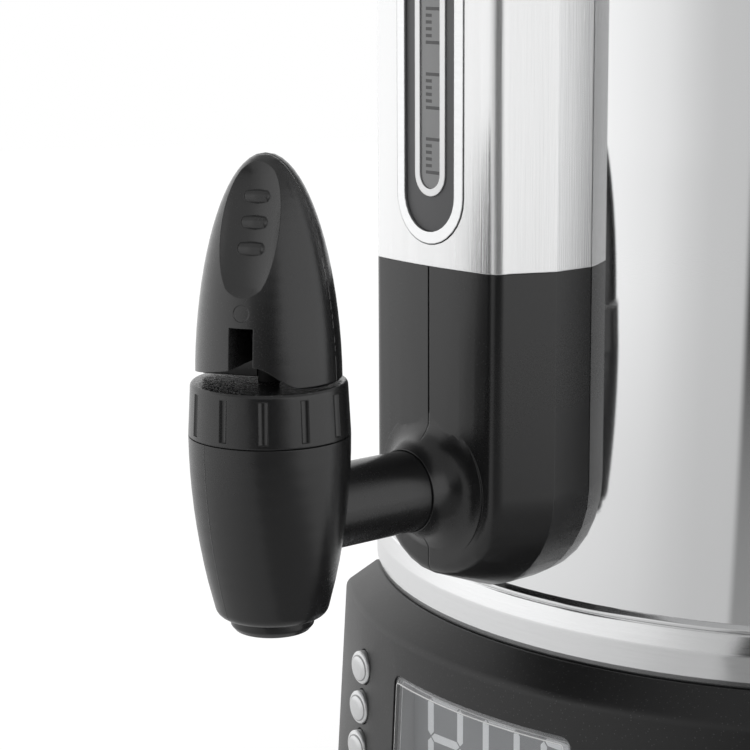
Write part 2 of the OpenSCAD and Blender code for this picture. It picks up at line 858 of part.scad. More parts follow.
module inner_tank() {
  r = tank_r;
  under = lip_z - tank_t;
  lip_low = lip_z - tank_lip;
  floor_top = tank_floor_z + tank_t;
  color(steel) difference() {
    revolve(rounded([
      [0, tank_floor_z, 0], [r, tank_floor_z, tank_round], [r, under, 1.5],
      [jacket_r + fit_gap, under, 0], [jacket_r + fit_gap, lip_low, 0],
      [lip_r, lip_low, 0.4], [lip_r, lip_z, 2], [tank_inner_r, lip_z, 2.5],
      [tank_inner_r, floor_top, tank_round - tank_t], [0, floor_top, 0]]), round_fn);
    front_rod(water_r, tank_r - 2 * water_r, tank_r + past, arm_z);
  }
}

module tie_rods() {
  nut_h = 5;
  tail = 9;
  color("silver") ring_of(tie_count, 180 + tie_angle, tie_circle_r) {
    post(tie_r, deck_under_z - tail, tank_floor_z - fit_gap, small_fn);
    post(1.9 * tie_r, deck_under_z - fit_gap - nut_h, deck_under_z - fit_gap, 6);
  }
}

heater_low = tank_floor_z - fit_gap - heater_t;
element_start = 110;
element_turn = 320;

module element_path(r) {
  rotate([0, 0, element_start]) rotate_extrude(angle = element_turn, $fn = fine)
    translate([element_loop_r, 0]) circle(r = r, $fn = 24);
}

module heat_spreader() {
  top = heater_low + heater_t;
  color("#b4b6b8") difference() {
    revolve(rounded([[0, heater_low, 0], [heater_r, heater_low, 2], [heater_r, top, 1], [0, top, 0]]));
    translate([0, 0, heater_low]) element_path(element_r + fit_gap);
  }
}

module heating_element() {
  tail = 4 * element_r;
  color("#8f8f8f") translate([0, 0, heater_low]) {
    element_path(element_r);
    for (a = [element_start, element_start + element_turn]) {
      rotate([0, 0, a]) translate([element_loop_r, 0, 0]) post(element_r - 0.4, -tail, 0, 24);
    }
  }
}

// Sheet that presses a sensor against the heat spreader
clip_t = 1.2;

module thermal_cutout() {
  body_r = 8;
  body_h = 8;
  blade = [6.2, 0.8, 8.4];
  color("#c9b98f") translate([0, 18, heater_low - fit_gap]) {
    post(body_r, -body_h, 0, 48);
    translate([0, 0, -clip_t]) linear_extrude(clip_t) polygon(box_outline(30, 12, 4));
    for (x = [-4, 4]) translate([x - blade.x / 2, -blade.y / 2, -2 * body_h]) cube(blade);
  }
}

module temperature_probe() {
  color(steel) translate([0, -20, heater_low - fit_gap]) {
    post(3, -14, 0, small_fn);
    translate([0, 0, -clip_t]) linear_extrude(clip_t) polygon(box_outline(22, 10, 3));
  }
}

// Water parts behind the tap

module tank_outlet() {
  color("#b7a06a") difference() {
    union() {
      intersection() {
        front_rod(stub_r + outlet_flange, tank_r - outlet_flange, tank_r + 2, arm_z);
        difference() {
          post(tank_r + 2, 0, 2 * arm_z, round_fn);
          post(tank_r + fit_gap, -past, 2 * arm_z + past, round_fn);
        }
      }
      front_rod(stub_r, tank_r + past, stub_front, arm_z);
    }
    front_rod(water_r, tank_r - 2 * outlet_flange, stub_front + past, arm_z);
  }
}

module outlet_seal() {
  near = jacket_r - 5;
  color("#a8443a") difference() {
    front_rod(jacket_hole_r - fit_gap, near, manifold_rear - fit_gap, arm_z);
    front_rod(stub_r + fit_gap, near - past, manifold_rear + past, arm_z);
  }
}

module manifold() {
  top = sight_low_z + sight_cup_h;
  color("#e2e0da") difference() {
    union() {
      front_rod(manifold_r, manifold_rear, manifold_front, arm_z);
      translate([0, -sight_y, 0]) post(sight_r + 2 * seal_t, arm_z, top, 48);
    }
    front_rod(water_r, manifold_rear - past, manifold_front + past, arm_z);
    front_rod(stub_r + fit_gap, manifold_rear - past, stub_front + fit_gap, arm_z);
    front_rod(arm_r + fit_gap, manifold_front - socket_len, manifold_front + past, arm_z);
    translate([0, -sight_y, 0]) {
      post(sight_r - seal_t, arm_z, top + past, 48);
      post(sight_r + seal_t + fit_gap, sight_low_z - fit_gap, top + past, 48);
    }
  }
}

module sight_tube() {
  color("#cfe0e6", 0.4) translate([0, -sight_y, 0]) difference() {
    post(sight_r, sight_low_z, sight_high_z, 48);
    post(sight_r - sight_wall, sight_low_z - past, sight_high_z + past, 48);
  }
}

module seal_ring(low) {
  translate([0, -sight_y, 0]) difference() {
    post(sight_r + seal_t, low, low + seal_h, 48);
    post(sight_r + fit_gap, low - past, low + seal_h + past, 48);
  }
}

module sight_seals() {
  color("#a8443a") {
    seal_ring(sight_low_z);
    seal_ring(sight_high_z - seal_h);
  }
}

module column_rail() {
  low = sight_low_z + sight_cup_h + 2;
  in_r = jacket_r + move_gap;
  shelf_front = sight_y + sight_r + 4;
  color(plastic) difference() {
    union() {
      intersection() {
        difference() {
          post(in_r + rail_t, 0, sight_high_z, round_fn);
          post(in_r, -past, sight_high_z + past, round_fn);
        }
        translate([-rail_hw, -col_front_r, low]) cube([2 * rail_hw, col_front_r, sight_high_z - low]);
      }
      difference() {
        translate([-rail_shelf_hw, -shelf_front, sight_high_z - seal_h])
          cube([2 * rail_shelf_hw, shelf_front - in_r - past, seal_h]);
        post(in_r, 0, 2 * sight_high_z, round_fn);
      }
    }
    translate([0, -sight_y, 0])
      post(sight_r + seal_t + fit_gap, sight_high_z - 2 * seal_h, sight_high_z + past, 48);
    rail_holes(jacket_r - past, jacket_r + 2 * rail_t);
  }
}

module rail_screws() {
  tip = rail_t + tank_gap * 0.7;
  head_r = 1.9 * rail_screw_r;
  head_h = 1.2 * rail_screw_r;
  color("silver") for (z = rail_screw_z) {
    translate([0, -jacket_r - move_gap - rail_t - fit_gap, z]) rotate([90, 0, 0])
      revolve(rounded([[0, -tip, 0], [rail_screw_r, -tip, 0.4], [rail_screw_r, 0, 0], [head_r, 0, 0],
        [head_r - 0.4, head_h, 0.8], [0, head_h, 0]]), small_fn);
  }
}

// Column

// Half-width and distance from the body's axis, round the front corner
corner_n = 5;
function corner_step(i, grow) = [
  col_front_hw + grow - col_corner * (1 - sin(90 * i / corner_n)),
  col_front_r + grow - col_corner * (1 - cos(90 * i / corner_n))];

// Half of the column's plan, from the front face's middle round to the jacket
face_n = 4;
function plan_half(grow) = concat(
  [for (i = [0:face_n])
    let(r = col_front_r + grow, a = asin((col_front_hw + grow - col_corner) / r) * i / face_n)
    [r * sin(a), -r * cos(a)]],
  [for (i = [1:corner_n]) let(s = corner_step(i, grow)) [s.x, -sqrt(s.y * s.y - s.x * s.x)]],
  [[col_wide_hw + grow, -col_wide_y], [col_rear_hw + grow, -col_back_y]]);

function plan_outline(grow) = let(half = plan_half(grow), k = len(half)) concat(
  half, [for (i = [k - 1:-1:1]) [-half[i].x, half[i].y]]);

// Upright with a round lower end, as wide as hw, about the arm's axis
function foot_outline(hw, top) = concat(
  [[hw, top], [-hw, top]],
  [for (i = [0:loft_fn / 2]) let(a = 180 + 360 * i / loft_fn) [hw * cos(a), arm_z + hw * sin(a)]]);

// Housing with a round foot: a loft through the plan's half-widths
module foot_form(grow, top) {
  slice = 0.01;
  hull() {
    for (i = [0:corner_n]) {
      s = corner_step(i, grow);
      intersection() {
        front_prism(foot_outline(s.x, top), col_wide_y, col_front_r + col_taper);
        post(s.y, 0, 2 * split_z, 180);
      }
    }
    front_prism(foot_outline(col_wide_hw + grow, top), col_wide_y - slice, col_wide_y);
    front_prism(foot_outline(col_rear_hw + grow, top), col_back_y, col_back_y + slice);
  }
}

// Trumpet for the arm: a quarter of an ellipse from the housing's face to the arm
module collar() {
  steps = 8;
  root = col_wall;
  sunk = 0.5;
  end_r = arm_r + collar_lip;
  bore = arm_r + fit_gap;
  flare = collar_foot_r - end_r;
  reach = collar_len + sunk;
  translate([0, -col_front_r + root, arm_z]) rotate([90, 0, 0]) revolve(concat(
    [[bore, 0], [collar_foot_r, 0]],
    [for (i = [0:steps]) let(a = 90 * i / steps)
      [collar_foot_r - flare * sin(a), root - sunk + reach * (1 - cos(a))]],
    [[bore, root + collar_len]]), 96);
}

seam_w = 0.5;
seam_depth = 0.35;

module tap_housing() {
  color(plastic) difference() {
    union() {
      difference() {
        foot_form(0, split_z - fit_gap);
        foot_form(-col_wall, split_z + past);
      }
      collar();
    }
    off_jacket(0, 2 * split_z);
    front_rod(arm_r + fit_gap, jacket_r, col_front_r + collar_len + past, arm_z, 96);
    // Mould seam down the middle of the front face
    translate([-seam_w / 2, -col_front_r - past, arm_z + collar_foot_r])
      cube([seam_w, past + seam_depth, split_z]);
  }
}

module gauge_cover() {
  low = split_z;
  high = cover_top_z - fit_gap;
  color("#b9bbbd") difference() {
    translate([0, 0, low]) linear_extrude(high - low) polygon(plan_outline(0));
    translate([0, 0, low - past]) linear_extrude(high - low + 2 * past) polygon(plan_outline(-cover_t));
    off_jacket(0, 2 * cover_top_z);
    front_prism(slot_outline(gauge_hw, gauge_low, gauge_high), col_wide_y, col_front_r + col_taper);
  }
}

// The cap repeats the housing's round foot, upside down
module column_cap() {
  cap_split = arm_z + 6;
  color(plastic) difference() {
    translate([0, 0, cover_top_z + cap_split]) mirror([0, 0, 1]) difference() {
      foot_form(0, cap_split);
      foot_form(-col_wall, cap_split + past);
    }
    off_jacket(0, 2 * cover_top_z);
  }
}

// Curved plate of the gauge, down from a distance from the body's axis, less an opening
module gauge_plate(outer, opening, r_out, t) {
  far = col_front_r + col_taper;
  difference() {
    intersection() {
      front_prism(outer, col_wide_y, far);
      difference() {
        post(r_out, split_z, cover_top_z, round_fn);
        post(r_out - t, 0, 2 * cover_top_z, round_fn);
      }
    }
    if (len(opening) > 0) {
      front_prism(opening, col_wide_y - past, far + past);
    }
  }
}

module gauge_bezel() {
  outer = slot_outline(gauge_hw - move_gap, gauge_low + move_gap, gauge_high - move_gap);
  opening = slot_outline(panel_hw, panel_low, panel_high);
  color(polished) gauge_plate(outer, opening, col_front_r + bezel_proud, bezel_t);
}

module gauge_panel() {
  outer = slot_outline(panel_hw - fit_gap, panel_low + fit_gap, panel_high - fit_gap);
  opening = slot_outline(ring_hw, ring_low, ring_high);
  color("#4c4d50") gauge_plate(outer, opening, col_front_r - panel_sink, panel_t);
}

module window_ring() {
  outer = slot_outline(ring_hw - fit_gap, ring_low + fit_gap, ring_high - fit_gap);
  opening = slot_outline(window_hw, window_low, window_high);
  color("#e8e8e8")
    gauge_plate(outer, opening, col_front_r - panel_sink + ring_proud, panel_t + ring_proud);
}

module gauge_window() {
  outer = slot_outline(window_hw - fit_gap, window_low + fit_gap, window_high - fit_gap);
  color("#9aa0a4", 0.6) gauge_plate(outer, [], col_front_r - panel_sink, panel_t);
}

// Tap

// Barrel radius at a height: a gentle arc from its upper edge
barrel_h = barrel_up + barrel_down;
function barrel_at(z) = barrel_r - barrel_taper * pow((barrel_top_z - z) / barrel_h, 2);

module barrel_solid() {
  steps = 10;
  tap_axis() revolve(rounded(concat(
    [[0, barrel_low_z, 0], [barrel_at(barrel_low_z), barrel_low_z, barrel_round]],
    [for (i = [2:steps]) let(z = barrel_low_z + barrel_h * i / steps) [barrel_at(z), z, 0]],
    [[0, barrel_top_z, 0]])), 96);
}

// Distance of the arm's seal from the body's axis
seal_y = manifold_front - 2.3;

module tap_body() {
  arm_near = manifold_front - socket_len + fit_gap;
  open = barrel_top_z + past;
  color(plastic) difference() {
    union() {
      barrel_solid();
      front_rod(arm_r, arm_near, tap_y - chamber_r / 2, arm_z, 96);
    }
    // Chamber, with a step at the top for the bonnet's spigot
    tap_axis() {
      post(chamber_r - chamber_step, seat_z - past, open);
      post(chamber_r, arm_z - chamber_r, open);
      post(spigot_r + fit_gap, barrel_top_z - spigot_h - cup_flange_t, open);
      post(nozzle_spigot_r + fit_gap, barrel_low_z - past, seat_z);
    }
    front_rod(water_r, arm_near - past, tap_y, arm_z);
    // Groove for the arm's seal
    translate([0, -seal_y, arm_z]) rotate([90, 0, 0]) rotate_extrude($fn = mid_fn)
      translate([arm_r - 1.2, -seal_w / 2 - fit_gap]) square([arm_r, seal_w + 2 * fit_gap]);
  }
}

module arm_seal() {
  t = 1.1;
  color("#1a1a1a") translate([0, -seal_y, arm_z]) rotate([90, 0, 0]) rotate_extrude($fn = mid_fn)
    translate([arm_r - t / 2, 0]) square([t, seal_w], center = true);
}

module nozzle() {
  low = barrel_low_z - nozzle_len;
  seat = barrel_low_z - fit_gap;
  color("#242426") tap_axis() difference() {
    revolve(rounded([[0, low, 0], [nozzle_r - 1.2, low, 0.8], [nozzle_r, low + 1.4, 0.8],
      [nozzle_r, seat, 0.4], [nozzle_spigot_r, seat, 0], [nozzle_spigot_r, seat_z, 0.4],
      [0, seat_z, 0]]), mid_fn);
    post(water_r - 0.5, low - past, seat_z + past, 48);
  }
}

module bonnet_flutes() {
  lean = atan(bonnet_taper / bonnet_h);
  first = 18;
  bridge = 1.3;
  for (i = [0:flute_count - 1]) {
    rotate([0, 0, first + i * 360 / flute_count])
      translate([0, -barrel_r - flute_r * 0.55, bonnet_low_z + bridge]) rotate([-lean, 0, 0])
      cylinder(r = flute_r, h = bonnet_h - 2.3 * bridge, $fn = 24);
  }
}

module tap_bonnet() {
  top_r = barrel_r - bonnet_taper;
  bore = stem_r + run_gap;
  plate_low = bonnet_top_z - bonnet_plate_t;
  spigot_low = bonnet_low_z - spigot_h;
  spigot_in = spigot_r - spigot_wall;
  color(plastic) tap_axis() difference() {
    revolve(rounded([
      [bore, plate_low, 0], [spigot_in, plate_low, 1], [spigot_in, spigot_low, 0],
      [spigot_r, spigot_low, 0.4], [spigot_r, bonnet_low_z, 0], [barrel_r, bonnet_low_z, 0.4],
      [top_r, bonnet_top_z, 1.1], [bore, bonnet_top_z, 0.3]]), 96);
    bonnet_flutes();
  }
}

module seat_cup() {
  flange_top = bonnet_low_z - spigot_h - fit_gap;
  flange_z = flange_top - cup_flange_t;
  flange_r = spigot_r - fit_gap;
  low = seat_z + fit_gap;
  out_r = cup_r + cup_wall;
  hub_r = stem_r + 1.4;
  hub_z = seat_z + seat_plate_t;
  color("#d8d4cc") tap_axis() revolve(rounded([
    [0, low, 0], [nozzle_spigot_r - 1, low, 0.6], [nozzle_spigot_r + 0.6, seat_z + 2, 0.8],
    [out_r, plug_z, 1.5], [out_r, flange_z, 1], [flange_r, flange_z, 0.3], [flange_r, flange_top, 0.3],
    [cup_r, flange_top, 0.6], [cup_r, plug_z, 0.6], [hub_r, plug_z, 0.2], [hub_r, hub_z, 0.4],
    [0, hub_z, 0]]), mid_fn);
}

module stem_washer() {
  color("silver") tap_axis() difference() {
    post(washer_r, spring_high, spring_high + washer_t, 48);
    post(stem_r + run_gap, spring_high - past, spring_high + washer_t + past, 48);
  }
}

// One unbroken wire: ground end turns, then an even pitch between them
spring_rings = 8;
spring_sides = 6;
end_gap = 0.25;
closed_pitch = 2 * wire_r + 0.5;
spring_rise = spring_high - spring_low - 2 * wire_r - 2 * end_gap;
function coil_z(turn) =
  let(pitch = (spring_rise - 2 * closed_pitch) / (spring_turns - 2))
  turn < 1 ? turn * closed_pitch
    : turn < spring_turns - 1 ? closed_pitch + (turn - 1) * pitch
    : closed_pitch + (spring_turns - 2) * pitch + (turn - spring_turns + 1) * closed_pitch;
coil_count = spring_turns * spring_rings;
coil_low = spring_low + end_gap + wire_r;
coil_points = [for (i = [0:coil_count]) let(t = i / spring_rings)
  [spring_r * cos(360 * t), spring_r * sin(360 * t), coil_low + coil_z(t)]];
coil_gap = min([for (i = [0:coil_count - spring_rings])
  coil_points[i + spring_rings].z - coil_points[i].z]) - 2 * wire_r;
echo(spring_least_gap = coil_gap);

module stem_spring() {
  n = spring_sides;
  ring = [for (i = [0:coil_count]) let(a = 360 * i / spring_rings) [for (j = [0:n - 1])
    let(b = 360 * j / n)
    coil_points[i] + wire_r * (cos(b) * [cos(a), sin(a), 0] + [0, 0, sin(b)])]];
  points = concat([for (r = ring) each r], [coil_points[0], coil_points[coil_count]]);
  side = [for (i = [0:coil_count - 1], j = [0:n - 1])
    let(a = i * n + j, b = i * n + (j + 1) % n) each [[a, a + n, b], [b, a + n, b + n]]];
  first = [for (j = [0:n - 1]) [len(points) - 2, j, (j + 1) % n]];
  last = [for (j = [0:n - 1]) [len(points) - 1, coil_count * n + (j + 1) % n, coil_count * n + j]];
  color("silver") tap_axis() polyhedron(points, concat(side, first, last));
}

module valve_stem() {
  eye_r = stem_r + 0.3;
  eye_w = 2 * stem_r - 0.4;
  foot = seat_z + seat_plate_t + fit_gap;
  color(plastic) lever_axis() difference() {
    union() {
      post(stem_r, foot, pin_z, 48);
      post(cup_r - move_gap, collar_z, collar_z + collar_t, 48);
      post(stem_r + 1.2, foot, foot + 2.5, 48);
      translate([-eye_w / 2, 0, pin_z]) rotate([0, 90, 0]) cylinder(r = eye_r, h = eye_w, $fn = 48);
    }
    translate([-pin_len / 2, 0, pin_z]) rotate([0, 90, 0])
      cylinder(r = pin_r + fit_gap / 2, h = pin_len, $fn = small_fn);
  }
}

module lever_pin() {
  color("silver") lever_axis() translate([-pin_len / 2, 0, pin_z]) rotate([0, 90, 0])
    cylinder(r = pin_r, h = pin_len, $fn = small_fn);
}

// Lever radius at a share of its height: a pointed arch that starts almost upright
ogive_power = 1.85;
ogive_root = 0.49;
function lever_at(t) = lever_r * pow(1 - pow(t, ogive_power), ogive_root);

// The thumb dish runs between two heights on the lever's front, deepest halfway
dish_low = 0.4;
dish_high = 0.97;
dish_mid = (dish_low + dish_high) / 2;
dish_fall = lever_at(dish_low) - lever_at(dish_high);
dish_rise = (dish_high - dish_low) * lever_h;
dish_lean = atan(dish_fall / dish_rise);
dish_len = norm([dish_fall, dish_rise]);

// Share of the dish's depth at a share of its half-length from the middle
function dish_share(u) = sqrt(max(0, 1 - u * u));
function dish_line(t) = lever_at(dish_low) - (t - dish_low) / (dish_high - dish_low) * dish_fall;
function dish_floor(t) =
  dish_line(t) - dish_depth * dish_share(2 * (t - dish_mid) / (dish_high - dish_low)) / cos(dish_lean);

rib_heights = [0.593, 0.703, 0.813];
rib_r = 2;
rib_hw = 4;

module lever_ogive() {
  steps = 20;
  edge = 0.5;
  revolve(concat([[0, lever_z], [lever_r - edge, lever_z]],
    [for (i = [0:steps - 1]) let(t = i == 0 ? edge / lever_h : 1 - pow(1 - i / steps, 1.6))
      [lever_at(t), lever_z + t * lever_h]],
    [[0, lever_z + lever_h]]), 96);
}

// Relief in the lever's foot: open to the left, and running out in a curve to the right
module lever_arch() {
  steps = 12;
  left = -lever_r - past;
  half = slot_w / 2;
  span = arch_hw - half;
  outline = concat([[left, -past], [arch_hw, -past]],
    [for (i = [steps:-1:0]) [half + span * i / steps, arch_h * (0.5 + 0.5 * cos(180 * i / steps))]],
    [[-half, arch_left_h], [left, arch_edge_h]]);
  translate([0, 0, lever_z]) front_prism(outline, 0, lever_r + past);
}

// Barrel-shaped cutter of the thumb dish, its axis in front of the lever
module dish_cutter() {
  steps = 16;
  translate([0, -dish_line(dish_mid), lever_z + dish_mid * lever_h]) rotate([-dish_lean, 0, 0])
    translate([0, dish_depth - dish_r, 0]) revolve(concat(
      [[0, -dish_len / 2]],
      [for (i = [0:steps]) let(u = 2 * i / steps - 1)
        [dish_r - dish_depth * (1 - dish_share(u)), u * dish_len / 2]],
      [[0, dish_len / 2]]), 96);
}

module thumb_rib(t) {
  steps = 8;
  outline = [for (i = [0:steps]) let(a = 90 - 180 * i / steps)
    [rib_r * cos(a), (rib_hw - rib_r) * sign(a) + rib_r * sin(a)]];
  translate([0, -dish_floor(t) + rib_r * 0.45, lever_z + t * lever_h]) rotate([0, 90, 0])
    revolve(outline, small_fn);
}

module tap_lever() {
  slot_rear = stem_r + 1.4;
  color(plastic) lever_axis() difference() {
    union() {
      difference() {
        lever_ogive();
        dish_cutter();
      }
      for (t = rib_heights) thumb_rib(t);
    }
    lever_arch();
    // Slot for the stem, open to the front and below
    translate([-slot_w / 2, -lever_r - past, lever_z - past])
      cube([slot_w, lever_r + past + slot_rear, slot_h + past]);
    translate([-lever_r - past, 0, pin_z]) rotate([0, 90, 0])
      cylinder(r = pin_r + run_gap, h = lever_r + past + pin_len / 2 + move_gap, $fn = small_fn);
  }
}

// Lid

lid_seat_z = lip_z + move_gap;
lid_r = lip_r - 1;
lid_top_z = lid_seat_z + lid_t + lid_dome_h;
vent_r = 5;
vent_y = 50;
knob_bolt_r = 3;
knob_thread_r = knob_bolt_r - 0.4;
knob_low_z = lid_top_z + fit_gap;

// The lid is flat under the knob, slopes a little to its brow and then falls to its edge
flat_r = knob_r + 3;
brow_r = plug_r - 32.9;
brow_drop = 2.4;
brow_round = 60;
edge_in = plug_r - 6;
lid_slope = atan(brow_drop / (brow_r - flat_r));

// Frame on the sloping part of the lid, at the vent
module at_vent() {
  translate([0, vent_y, lid_top_z - (vent_y - flat_r) * tan(lid_slope)]) rotate([-lid_slope, 0, 0])
    children();
}

module lid() {
  t = lid_t;
  seat = lid_seat_z;
  plug_low = seat - lid_plug;
  color(polished) difference() {
    revolve(rounded([
      [0, lid_top_z, 0], [flat_r, lid_top_z, knob_r], [brow_r, lid_top_z - brow_drop, brow_round],
      [edge_in, seat + t, 5], [lid_r - 0.5, seat + t, 0.5], [lid_r, seat + 2 * t, 0.8],
      [lid_r + 0.6, seat + t, 0.4], [lid_r, seat, 0.6], [plug_r, seat, 0.8], [plug_r, plug_low, 0.4],
      [plug_r - t, plug_low, 0.4], [plug_r - t, seat - t, 0.4], [edge_in, seat, 4],
      [brow_r, lid_top_z - t - brow_drop, brow_round], [flat_r, lid_top_z - t, knob_r],
      [0, lid_top_z - t, 0]]), round_fn);
    post(knob_bolt_r + fit_gap, seat, lid_top_z + past, small_fn);
    at_vent() post(vent_r + fit_gap, -lid_dome_h, lid_dome_h, small_fn);
  }
}

module lid_gasket() {
  low = lid_seat_z - lid_plug + 1;
  high = lid_seat_z - 0.5;
  color("#d8d4cc") difference() {
    post(plug_r + gasket_t, low, high, round_fn);
    post(plug_r + fit_gap, low - past, high + past, round_fn);
  }
}

module lid_vent() {
  stem = 6;
  head = 2.4;
  color(plastic) at_vent() difference() {
    revolve(rounded([[0, -stem, 0], [vent_r, -stem, 0.4], [vent_r, fit_gap, 0], [vent_r + 3, fit_gap, 0.2],
      [vent_r + 2.4, head, 1], [0, head + 0.2, 0]]), 48);
    for (i = [0:2]) {
      rotate([0, 0, 120 * i]) translate([vent_r / 2, 0, 0]) post(1, -2 * stem, 2 * stem, 24);
    }
  }
}

module lid_knob() {
  h = knob_h;
  r = knob_r;
  color(plastic) translate([0, 0, knob_low_z]) difference() {
    revolve(rounded([[0, 0, 0], [r * 0.95, 0, 1], [r * 0.8, h / 6, 3], [r * 0.52, h * 0.4, 5],
      [r * 0.6, h * 0.56, 4], [r, h * 0.66, 3], [r * 0.97, h * 0.86, 4], [r * 0.6, h, 10], [0, h, 0]]), 96);
    post(knob_thread_r + fit_gap, -past, h * 0.6, small_fn);
  }
}

module knob_screw() {
  under = lid_top_z - lid_t;
  tip = knob_low_z + knob_h * 0.5;
  head_r = 2 * knob_bolt_r;
  washer = 3 * knob_bolt_r;
  color("silver") revolve(rounded([[0, under - 4.4, 0], [head_r, under - 4, 1.2], [head_r, under - 1.6, 0.2],
    [washer, under - 1.6, 0.2], [washer, under - 0.5, 0.2], [knob_thread_r, under - 0.5, 0],
    [knob_thread_r, tip, 0.5], [0, tip, 0]]), small_fn);
}

// Handles

// Loft of a rounded section along a bent path in the horizontal plane
module grip_bar(path, w, h) {
  sides = 20;
  squareness = 0.7;
  n = len(path);
  section = [for (j = [0:sides - 1]) let(c = cos(360 * j / sides), s = sin(360 * j / sides))
    [w / 2 * sign(c) * pow(abs(c), squareness), h / 2 * sign(s) * pow(abs(s), squareness)]];
  rings = [for (i = [0:n - 1])
    let(t = unit(path[min(i + 1, n - 1)] - path[max(i - 1, 0)]), across = [t.y, -t.x])
    [for (s = section) [path[i].x + across.x * s.x, path[i].y + across.y * s.x, s.y]]];
  points = [for (r = rings) each r];
  side = [for (i = [0:n - 2], j = [0:sides - 1])
    let(a = i * sides + j, b = i * sides + (j + 1) % sides)
    each [[a, b, a + sides], [b, b + sides, a + sides]]];
  first = [[for (j = [sides - 1:-1:0]) j]];
  last = [[for (j = [0:sides - 1]) (n - 1) * sides + j]];
  polyhedron(points, concat(side, first, last));
}

module handle() {
  far = jacket_r + handle_reach - grip_t / 2;
  half = handle_span / 2;
  root = jacket_r - handle_root;
  path = concat(
    [[root, -half]], corner([far, -half], [root, -half], [far, half], handle_bend, 6),
    [[far, 0]], corner([far, half], [far, -half], [root, half], handle_bend, 6), [[root, half]]);
  color(plastic) difference() {
    translate([0, 0, handle_z]) union() {
      grip_bar(path, grip_t, grip_h);
      for (end = [-1, 1]) {
        intersection() {
          translate([root, end * half, 0]) rotate([0, 90, 0]) linear_extrude(2 * handle_root)
            polygon(box_outline(grip_h + 12, grip_t + 11, 6));
          post(jacket_r + pad_t, -grip_h, grip_h, round_fn);
        }
      }
    }
    off_jacket(handle_z - 2 * grip_h, handle_z + 2 * grip_h);
    handle_bolts(fit_gap, tank_r / 2, jacket_r + 12);
  }
}

module handle_right() {
  handle();
}

module handle_left() {
  mirror([1, 0, 0]) handle();
}

module handle_screws() {
  head_r = 2;
  head_h = 3.4;
  seat_x = sqrt(pow(jacket_r - jacket_t, 2) - pow(handle_span / 2 + 2 * head_r, 2)) - 0.6;
  color("silver") {
    handle_bolts(0, seat_x - past, jacket_r + 10);
    handle_bolts(head_r, seat_x - head_h, seat_x);
  }
}

base_shell();
base_plate();
rubber_feet();
base_screws();
display_lens();
display_carrier();
lcd_glass();
display_board();
button_upper();
button_middle();
button_lower();
button_board();
tact_switches();
control_board();
terminal_block();
mains_gland();
gland_nut();
bottom_rim();
outer_jacket();
inner_tank();
tie_rods();
heat_spreader();
heating_element();
thermal_cutout();
temperature_probe();
tank_outlet();
outlet_seal();
manifold();
sight_tube();
sight_seals();
column_rail();
rail_screws();
tap_housing();
gauge_cover();
column_cap();
gauge_bezel();
gauge_panel();
window_ring();
gauge_window();
tap_body();
arm_seal();
nozzle();
tap_bonnet();
seat_cup();
stem_washer();
stem_spring();
valve_stem();
lever_pin();
tap_lever();
lid();
lid_gasket();
lid_vent();
lid_knob();
knob_screw();
handle_left();
handle_right();
handle_screws();
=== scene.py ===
# %% [markdown]
# # A hot water urn under studio light
# The solids of the urn come in as a fixed frame, in metres: its axis is Z, it stands on
# z = 0 and its tap points to -Y. This lesson gives every solid a finish, adds the prints
# and thin trim that a construction model leaves out, and lights it like a product picture.

# %% The frame
import math

import bmesh
import bpy
from mathutils import Matrix, Vector


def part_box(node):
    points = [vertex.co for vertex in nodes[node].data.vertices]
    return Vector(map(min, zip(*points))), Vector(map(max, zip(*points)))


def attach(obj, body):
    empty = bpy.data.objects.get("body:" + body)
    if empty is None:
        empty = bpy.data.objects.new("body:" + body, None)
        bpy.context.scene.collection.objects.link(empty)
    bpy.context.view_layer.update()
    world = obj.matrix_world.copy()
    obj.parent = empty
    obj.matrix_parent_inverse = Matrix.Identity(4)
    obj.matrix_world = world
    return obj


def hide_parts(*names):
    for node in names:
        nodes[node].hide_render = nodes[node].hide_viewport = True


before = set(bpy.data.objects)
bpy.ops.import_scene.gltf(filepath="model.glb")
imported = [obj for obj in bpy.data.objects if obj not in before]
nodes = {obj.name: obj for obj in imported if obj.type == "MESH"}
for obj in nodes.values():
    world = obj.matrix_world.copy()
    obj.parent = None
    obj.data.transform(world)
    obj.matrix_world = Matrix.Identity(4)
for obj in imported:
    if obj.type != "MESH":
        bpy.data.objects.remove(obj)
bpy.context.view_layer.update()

MM = 0.001

# %% [markdown]
# ## Where things are
# A picture drawn on the urn has to sit on the solid that carries it. The places are read
# from the frame, so that a change of the solids carries the prints along. Only what a box
# can't tell, such as the slope of the panel's wall, is written here.

# %% Places
def middle(node):
    low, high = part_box(node)
    return (low + high) / 2

tap_axis = middle("tap_bonnet")
lens_low, lens_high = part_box("display_lens")
lens_centre = (lens_low + lens_high) / 2
lcd_low, lcd_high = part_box("lcd_glass")
lcd_front = lcd_low.y
base_low, base_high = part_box("base_shell")
panel_radius = -base_low.y
WALL_FALL = 4.0 / 71.4
LEVER_TURN = math.radians(30.0)

def wall_radius(z):
    """Outer radius of the control panel's leaning wall at a height."""
    return panel_radius - (z - base_low.z) * WALL_FALL

print("tap axis at y", round(tap_axis.y, 4), "- display centre at z", round(lens_centre.z, 4))

# %% [markdown]
# ## The camera
# The picture was taken from the right of the tap, a little above it, with a long lens. The
# direction is given by the angle round the urn, the dip below the horizon and a slight roll;
# the three axes of the camera follow from these, and a matrix made of them places it.

# %% Camera
CAMERA_PLACE = Vector((436.8, -546.2, 277.3)) * MM
CAMERA_TURN = math.radians(49.85)
CAMERA_DIP = math.radians(11.257)
CAMERA_ROLL = math.radians(-0.312)
PICTURE_SIDE = 750
FOCAL_PIXELS = 2294.3

